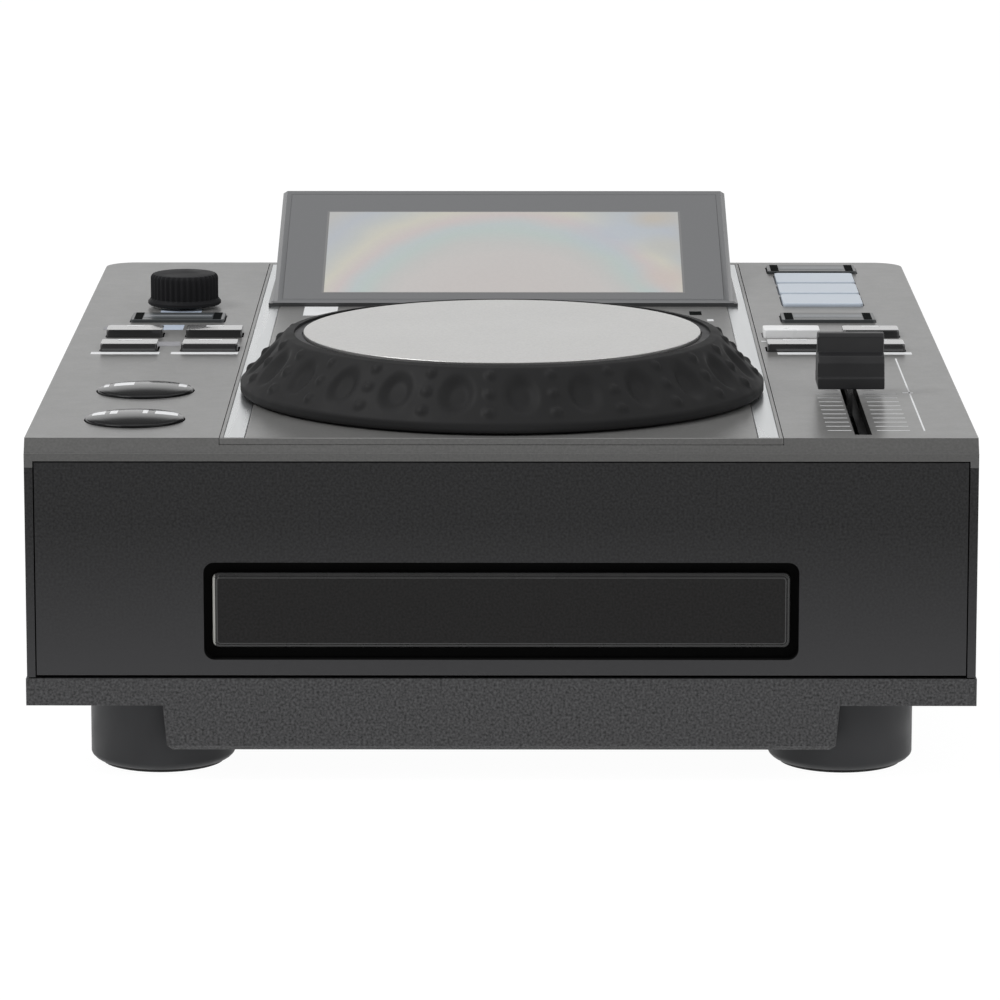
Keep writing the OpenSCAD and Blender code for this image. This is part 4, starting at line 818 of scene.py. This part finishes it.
class DISCPLAYER_OT_display(bpy.types.Operator):
    """Makes the tilted display: its housing, bezel glass and resting screen"""

    bl_idname = "disc_player.display"
    bl_label = "Display"

    def execute(self, context):
        self.housing()
        self.screen(*self.glass())
        return {"FINISHED"}

    def housing(self):
        """The housing, with painted shade darkening its foot where it meets the deck."""
        foot_top = DECK + 0.0011
        finishes = ["display_plastic", "display_foot"]
        housing = dressed("display_housing", 0.0007, finishes, segments=3, keep=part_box("display_glass"))
        for face in housing.data.polygons:
            if face.center.z < foot_top and face.normal.z < 0.5:
                face.material_index = 1

    def glass(self):
        """The cover glass, a little wider to close its joint; returns its middle and its directions."""
        joint, edge = 0.00012, 0.0001
        bm = merged("display_glass")
        top = max(bm.faces, key=lambda f: f.calc_area() * (f.normal.z > 0.5))
        normal = top.normal.copy()
        across = Vector((1, 0, 0))
        up = normal.cross(across).normalized()
        centre = top.calc_center_median()
        for v in bm.verts:
            for way in (across, up):
                v.co += way * math.copysign(joint, (v.co - centre).dot(way))
        rounded(bm, edge)
        name = "display_glass_plate"
        link(name, settled(to_mesh(name, bm)), "display_glass", ["display_glass"], stands=True)
        return centre, across, up, normal

    def screen(self, centre, across, up, normal):
        """The clear window with the resting screen, and the thin border round it."""
        s = sizes()
        middle_of_screen = centre - up * s.screen_drop
        thickness = 0.00006
        for name, margin, rise, material in (
            ("screen_border", 0.0006, 0.00002, "screen_edge"), ("screen_window", 0.0, 0.00004, "screen_film")
        ):
            bm = bmesh.new()
            corners = [
                middle_of_screen + across * a * (s.screen_width / 2 + margin)
                + up * b * (s.screen_length / 2 + margin) + normal * rise
                for a, b in ((-1, -1), (1, -1), (1, 1), (-1, 1))
            ]
            bm.faces.new([bm.verts.new(c) for c in corners])
            bmesh.ops.subdivide_edges(bm, edges=bm.edges, cuts=8, use_grid_fill=True)
            bm.normal_update()
            shell = bmesh.ops.extrude_face_region(bm, geom=bm.faces[:])
            for v in (g for g in shell["geom"] if isinstance(g, bmesh.types.BMVert)):
                v.co -= normal * thickness
            bmesh.ops.recalc_face_normals(bm, faces=bm.faces)
            link(name, to_mesh(name, bm), "display_glass", [material])


class DISCPLAYER_OT_jog_wheel(bpy.types.Operator):
    """Makes the jog wheel's plate and its rubber ring with dimples and bumps"""

    bl_idname = "disc_player.jog_wheel"
    bl_label = "Jog wheel"

    def execute(self, context):
        dressed("jog_plate", 0.00012)
        self.ring()
        finished("jog_carrier", "jog_shaft", "jog_encoder_disc", "jog_bearing_housing")
        return {"FINISHED"}

    def ring(self):
        """The rubber ring: a sector of its section with one dimple, repeated round the axis and closed."""
        s = sizes()
        low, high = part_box("jog_ring")
        foot, top, outer = low.z, high.z, half_width("jog_ring")
        inner = half_width("jog_plate") + 0.0024
        shoulder = half_width("jog_plate") + 0.0047
        band = foot + 0.0023
        slope = Vector((outer - shoulder, band - (top - 0.0004)))
        out = Vector((-slope.y, slope.x)).normalized()
        start = Vector((shoulder, top - 0.0004))
        rows, columns = 26, 30
        rim = [Vector(p) for p in (
            (inner, top), (shoulder - 0.0012, top - 0.0002), (shoulder - 0.0004, top - 0.00028)
        )]
        skirt = [Vector(p) for p in (
            (outer, band - 0.0006), (outer, (band + foot) / 2), (outer, foot + 0.0004),
            (outer - 0.0004, foot), (outer - 0.003, foot),
        )]
        profile = rim + [start + slope * (i / rows) for i in range(rows + 1)] + skirt
        sector = math.tau / s.dimples
        mean = (outer + shoulder) / 2
        fade = 12  # the relief fades out over a twelfth of the slope at its ends
        bm = bmesh.new()
        grid = []
        for j in range(columns + 1):
            angle = (j / columns - 0.5) * sector
            line = []
            for i, point in enumerate(profile):
                along = (i - len(rim)) / rows
                shift = 0.0
                if 0 <= along <= 1:
                    shift = self.relief(angle * mean, (along - 0.5) * slope.length, sector * mean)
                    shift *= min(1, along * fade, (1 - along) * fade)
                p = point + out * shift
                line.append(bm.verts.new((p.x * math.cos(angle), p.x * math.sin(angle), p.y)))
            grid.append(line)
        for a, b in zip(grid, grid[1:]):
            for i in range(len(profile) - 1):
                bm.faces.new((a[i], a[i + 1], b[i + 1], b[i]))
        unit = plain_mesh("ring_sector", bm)
        centre = middle("jog_plate") * Vector((1, 1, 0))
        at_axis, front = 0.000001, -math.pi / 2
        mesh = repeated_round(
            "ring_of_dimples", unit, s.dimples, centre, at_axis, front + s.dimple_turn, "jog_rubber"
        )
        self.close(mesh, (top + foot) / 2)

    def close(self, mesh, half_way):
        """Joins the sectors, turns the ring's two inner rims inwards and stands it for the CAD ring."""
        lip_down, lip_up = Vector((0, 0, -0.0008)), Vector((0, 0, 0.0006))
        bm = bmesh.new()
        bm.from_mesh(mesh)
        bmesh.ops.remove_doubles(bm, verts=bm.verts, dist=5e-6)
        rims = [e for e in bm.edges if e.is_boundary]
        for v in bmesh.ops.extrude_edge_only(bm, edges=rims)["geom"]:
            if isinstance(v, bmesh.types.BMVert):
                v.co += lip_down if v.co.z > half_way else lip_up
        bmesh.ops.recalc_face_normals(bm, faces=bm.faces)
        name = "jog_ring_grip"
        link(name, to_mesh(name, bm, math.radians(50)), "jog_ring", ["jog_rubber"], stands=True)

    def relief(self, across, along, pitch):
        """Height over the slope: a finger dimple in the middle and three bumps at the side."""
        s = sizes()
        half_across, half_along, deep = pitch * 0.27, 0.0055, 0.0014
        brim, soft = 1.15, 0.7
        reach = math.hypot(across / half_across, (along + 0.0005) / half_along)
        t = max(0.0, min(1.0, (brim - reach) / soft))
        height = -deep * t * t * (3 - 2 * t)
        for place in (-0.006, -0.0007, 0.0046):
            near = math.hypot(pitch / 2 - abs(across), along - place) / s.bump_radius
            if near < 1:
                height += s.bump_rise * (1 - near * near)
        return height


class DISCPLAYER_OT_keys(bpy.types.Operator):
    """Makes the keys, pads and round buttons"""

    bl_idname = "disc_player.keys"
    bl_label = "Keys"

    def execute(self, context):
        s = sizes()
        for node in NODES:
            if "_key_" in node and "slim" not in node:
                dressed(node, s.key_edge, segments=4)
                if node != "right_key_inner_rear":
                    self.label(node)
            elif "slim" in node:
                dressed(node, s.key_edge / 3)
                self.slim_marks(node)
            elif node.startswith("pad_"):
                dressed(node, s.key_edge / 2, segments=3)
        for node in ("play_button", "cue_button"):
            self.round_button(node)
        return {"FINISHED"}

    def mark(self, node, name, spans, y, reach, lift, material):
        """Prints bars on a key's top, each over a span across it."""
        x, top, rise = middle(node).x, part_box(node)[1].z, sizes().print_height
        bm = bmesh.new()
        for a, b in spans:
            slab(bm, (x + a, y - reach, top - rise), (x + b, y + reach, top + rise * lift))
        link(node + name, to_mesh(node + name, bm), node, [material])

    def label(self, node):
        """A short plain bar where a key carries its legend."""
        half = 0.0022 if "rear" in node else 0.003
        self.mark(node, "_label", ((-half, half),), middle(node).y + 0.0022, 0.0008, 1, "white_ink")

    def slim_marks(self, node):
        """Two dark ends on a slim key's top, and a pale bar and a light line between them."""
        for name, spans, reach, lift, material in (
            ("_ends", ((-0.0114, -0.0092), (0.0092, 0.0114)), 0.0056, 1, "slim_end"),
            ("_bar", ((-0.009, 0.009),), 0.0026, 1, "slim_bar"),
            ("_line", ((-0.0088, 0.0088),), 0.0005, 1.5, "grey_ink"),
        ):
            self.mark(node, name, spans, middle(node).y, reach, lift, material)

    def round_button(self, node):
        """A domed button with its flange and stem."""
        edge, dome = sizes().button_edge, sizes().button_dome
        low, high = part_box(node)
        flange = half_width(node)
        stem, radius = 0.0016, flange - 0.0009
        sphere = (radius * radius + dome * dome) / (2 * dome)
        seat = DECK - 0.0033
        flange_foot = seat - 0.001
        profile = [(0, low.z, 0), (stem, low.z, 0), (stem, flange_foot, 0), (flange, flange_foot, 0),
                   (flange, seat, 0), (radius, seat, 0)]
        rim = high.z - dome
        edge_steps, dome_steps = 4, 16
        for i in range(edge_steps + 1):
            angle = math.pi / 2 * i / edge_steps
            profile.append((radius - edge * (1 - math.cos(angle)), rim - edge * (1 - math.sin(angle)), 0))
        for i in range(1, dome_steps + 1):
            r = (radius - edge) * (1 - i / dome_steps)
            drop = sphere - math.sqrt(sphere * sphere - r * r)
            profile.append((r, high.z - drop, 0))
        mesh = to_mesh(node + "_cap", turned_body(profile, middle(node), 128), math.radians(50))
        link(node + "_cap", mesh, node, ["round_plastic"], stands=True)


class DISCPLAYER_OT_selector(bpy.types.Operator):
    """Makes the fluted selector knob"""

    bl_idname = "disc_player.selector"
    bl_label = "Selector"

    def execute(self, context):
        s = sizes()
        low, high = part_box("select_knob")
        foot = half_width("select_knob")
        grip, bore, cut = foot - 0.0007, 0.00306, s.flute_depth
        steps_per_flute = 8
        profile = [
            (0, high.z - 0.0014, 0), (bore, high.z - 0.0014, 0), (bore, low.z, 0), (foot - 0.0003, low.z, 0),
            (foot, low.z + 0.0003, 0), (foot, low.z + 0.0009, 0), (foot - 0.0003, low.z + 0.0012, 0),
            (grip + 0.0002, low.z + 0.0015, 0), (grip, low.z + 0.0018, cut), (grip, high.z - 0.001, cut),
            (grip - 0.0002, high.z - 0.0005, cut), (grip - 0.0006, high.z - 0.0001, cut / 2),
            (grip - 0.0012, high.z, 0), (0.004, high.z - 0.0002, 0), (0, high.z - 0.00025, 0),
        ]
        bm = turned_body(profile, middle("select_knob"), s.flutes * steps_per_flute, s.flutes)
        name = "select_knob_grip"
        link(name, to_mesh(name, bm), "select_knob", ["knob_plastic"], stands=True)
        finished("select_shaft", "select_encoder")
        return {"FINISHED"}


class DISCPLAYER_OT_fader(bpy.types.Operator):
    """Makes the pitch fader's cap and dresses its works"""

    bl_idname = "disc_player.fader"
    bl_label = "Pitch fader"

    def execute(self, context):
        dressed("fader_cap", 0.0004, angle=20)
        finished("fader_lever")
        # the fader's body takes the black rear steel finish rather than its slot's, as painted shade that
        # keeps the slot above it dark
        finished("fader_body", material="rear_steel")
        return {"FINISHED"}


class DISCPLAYER_OT_prints(bpy.types.Operator):
    """Prints the marks on the deck"""

    bl_idname = "disc_player.prints"
    bl_label = "Printed marks"

    def execute(self, context):
        s = sizes()
        line = s.line_width / MM
        # each bar, in mm: its two ends across the deck, how far its middle is from the front, and its width
        for name, material, bars in (
            ("key_lines", "white_ink", (
                (-104.4, -87.0, 123.4, line), (-84.1, -67.1, 123.4, line), (69.7, 103.7, 123.4, line),
                (66.4, 68.2, 142.5, 1.2), (-52.9, -44.0, 192.0, 15.0), (53.6, 55.3, 177.0, 3.2),
            )),
            ("key_bars", "blue_ink", ((-90.8, -80.0, 192.3, 5.4), (-89.6, -83.2, 164.6, 8.0))),
            ("key_gaps", "grey_ink", ((-91.0, -82.6, 137.9, 7.0), (-104.0, -98.6, 163.4, 5.0))),
            ("dark_bars", "slim_end", ((49.3, 52.5, 188.7, 6.0),)),
            ("fader_range", "white_ink", ((98.9, 99.3, 63.75, 103.5), (97.4, 100.0, 64.5, 1.4))),
        ):
            bm = bmesh.new()
            for x0, x1, d, width in bars:
                low, high = FRONT + (d - width / 2) * MM, FRONT + (d + width / 2) * MM
                slab(bm, (x0 * MM, low, DECK), (x1 * MM, high, DECK + s.print_height))
            link(name, to_mesh(name, bm), "top_cover", [material])
        self.fader_scale(s)
        return {"FINISHED"}

    def fader_scale(self, s):
        """Rows of ticks on both sides of the fader's slot, shorter in its rear half."""
        cap = middle("fader_cap")
        start = cap.y - s.tick_pitch * (s.ticks - 1) / 2
        front = (s.ticks + 1) // 2
        rear = s.ticks - front
        for name, left, right, count, first in (
            ("front_left", -0.0081, -0.0025, front, 0), ("front_right", 0.0035, 0.0112, front, 0),
            ("rear_left", -0.0056, -0.0025, rear, front), ("rear_right", 0.0035, 0.0064, rear, front),
        ):
            bm = bmesh.new()
            slab(bm, (left, -s.tick_width / 2, 0), (right, s.tick_width / 2, s.print_height))
            place = (cap.x, start + first * s.tick_pitch, DECK)
            step = (0, s.tick_pitch, 0)
            mesh = repeated_along("scale_" + name, plain_mesh("tick", bm), count, place, step, "white_ink")
            link("fader_scale_" + name, mesh, "top_cover", ["white_ink"])


class DISCPLAYER_OT_loader(bpy.types.Operator):
    """Dresses the disc tray, its door and the loader"""

    bl_idname = "disc_player.loader"
    bl_label = "Disc loader"

    def execute(self, context):
        self.shade_edges(dressed("tray_door", 0.0006, ["door_plastic", "door_edge", "door_rim"], segments=3))
        dressed("disc_tray", 0.0003, segments=1)
        finished(
            "loader_chassis", "clamp_bridge", "disc_clamp", "loading_motor", "motor_pulley",
            "drive_belt", "pulley_gear", "traverse_frame", "turntable", "traverse_motors",
            "pickup_sled", "guide_rod", "lead_screw",
        )
        return {"FINISHED"}

    def shade_edges(self, door):
        """Paints a pale highlight on the door's rounded left edge and a fainter grey sheen on its other
        edges.
        """
        left_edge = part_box("tray_door")[0].x + 0.0006
        for face in door.data.polygons:
            if -0.97 < face.normal.y < -0.1:
                face.material_index = 1 if face.center.x < left_edge and face.normal.x < -0.1 else 2


class DISCPLAYER_OT_works(bpy.types.Operator):
    """Dresses the boards, sockets, switch and screws"""

    bl_idname = "disc_player.works"
    bl_label = "Boards and rear"

    def execute(self, context):
        edge = 0.0003
        parts = (("line_sockets", 1), ("power_rocker", 2), ("power_switch", 1), ("power_jack", 1))
        for node, segments in parts:
            dressed(node, edge, segments=segments)
        finished("case_screws", "lcd_module", "key_boards", "main_board")
        return {"FINISHED"}


class DISCPLAYER_PT_panel(bpy.types.Panel):
    bl_label = "Disc player"
    bl_idname = "DISCPLAYER_PT_panel"
    bl_space_type = "VIEW_3D"
    bl_region_type = "UI"
    bl_category = "Disc Player"

    def draw(self, context):
        for group in (sizes(), colours()):
            for name in group.bl_rna.properties.keys():
                if name not in ("rna_type", "name"):
                    self.layout.prop(group, name)
        for operator in OPERATORS:
            self.layout.operator(operator.bl_idname)


OPERATORS = (
    DISCPLAYER_OT_stage, DISCPLAYER_OT_case, DISCPLAYER_OT_display, DISCPLAYER_OT_jog_wheel,
    DISCPLAYER_OT_keys, DISCPLAYER_OT_selector, DISCPLAYER_OT_fader, DISCPLAYER_OT_prints,
    DISCPLAYER_OT_loader, DISCPLAYER_OT_works,
)
CLASSES = (DiscPlayerSizes, DiscPlayerColours, *OPERATORS, DISCPLAYER_PT_panel)


def register():
    for cls in CLASSES:
        bpy.utils.register_class(cls)
    bpy.types.Scene.disc_player_sizes = bpy.props.PointerProperty(type=DiscPlayerSizes)
    bpy.types.Scene.disc_player_colours = bpy.props.PointerProperty(type=DiscPlayerColours)


def unregister():
    del bpy.types.Scene.disc_player_colours
    del bpy.types.Scene.disc_player_sizes
    for cls in reversed(CLASSES):
        bpy.utils.unregister_class(cls)


def main():
    register()
    for operator in OPERATORS:
        name = operator.bl_idname.split(".")[1]
        getattr(bpy.ops.disc_player, name)()


if __name__ == "__main__":
    main()
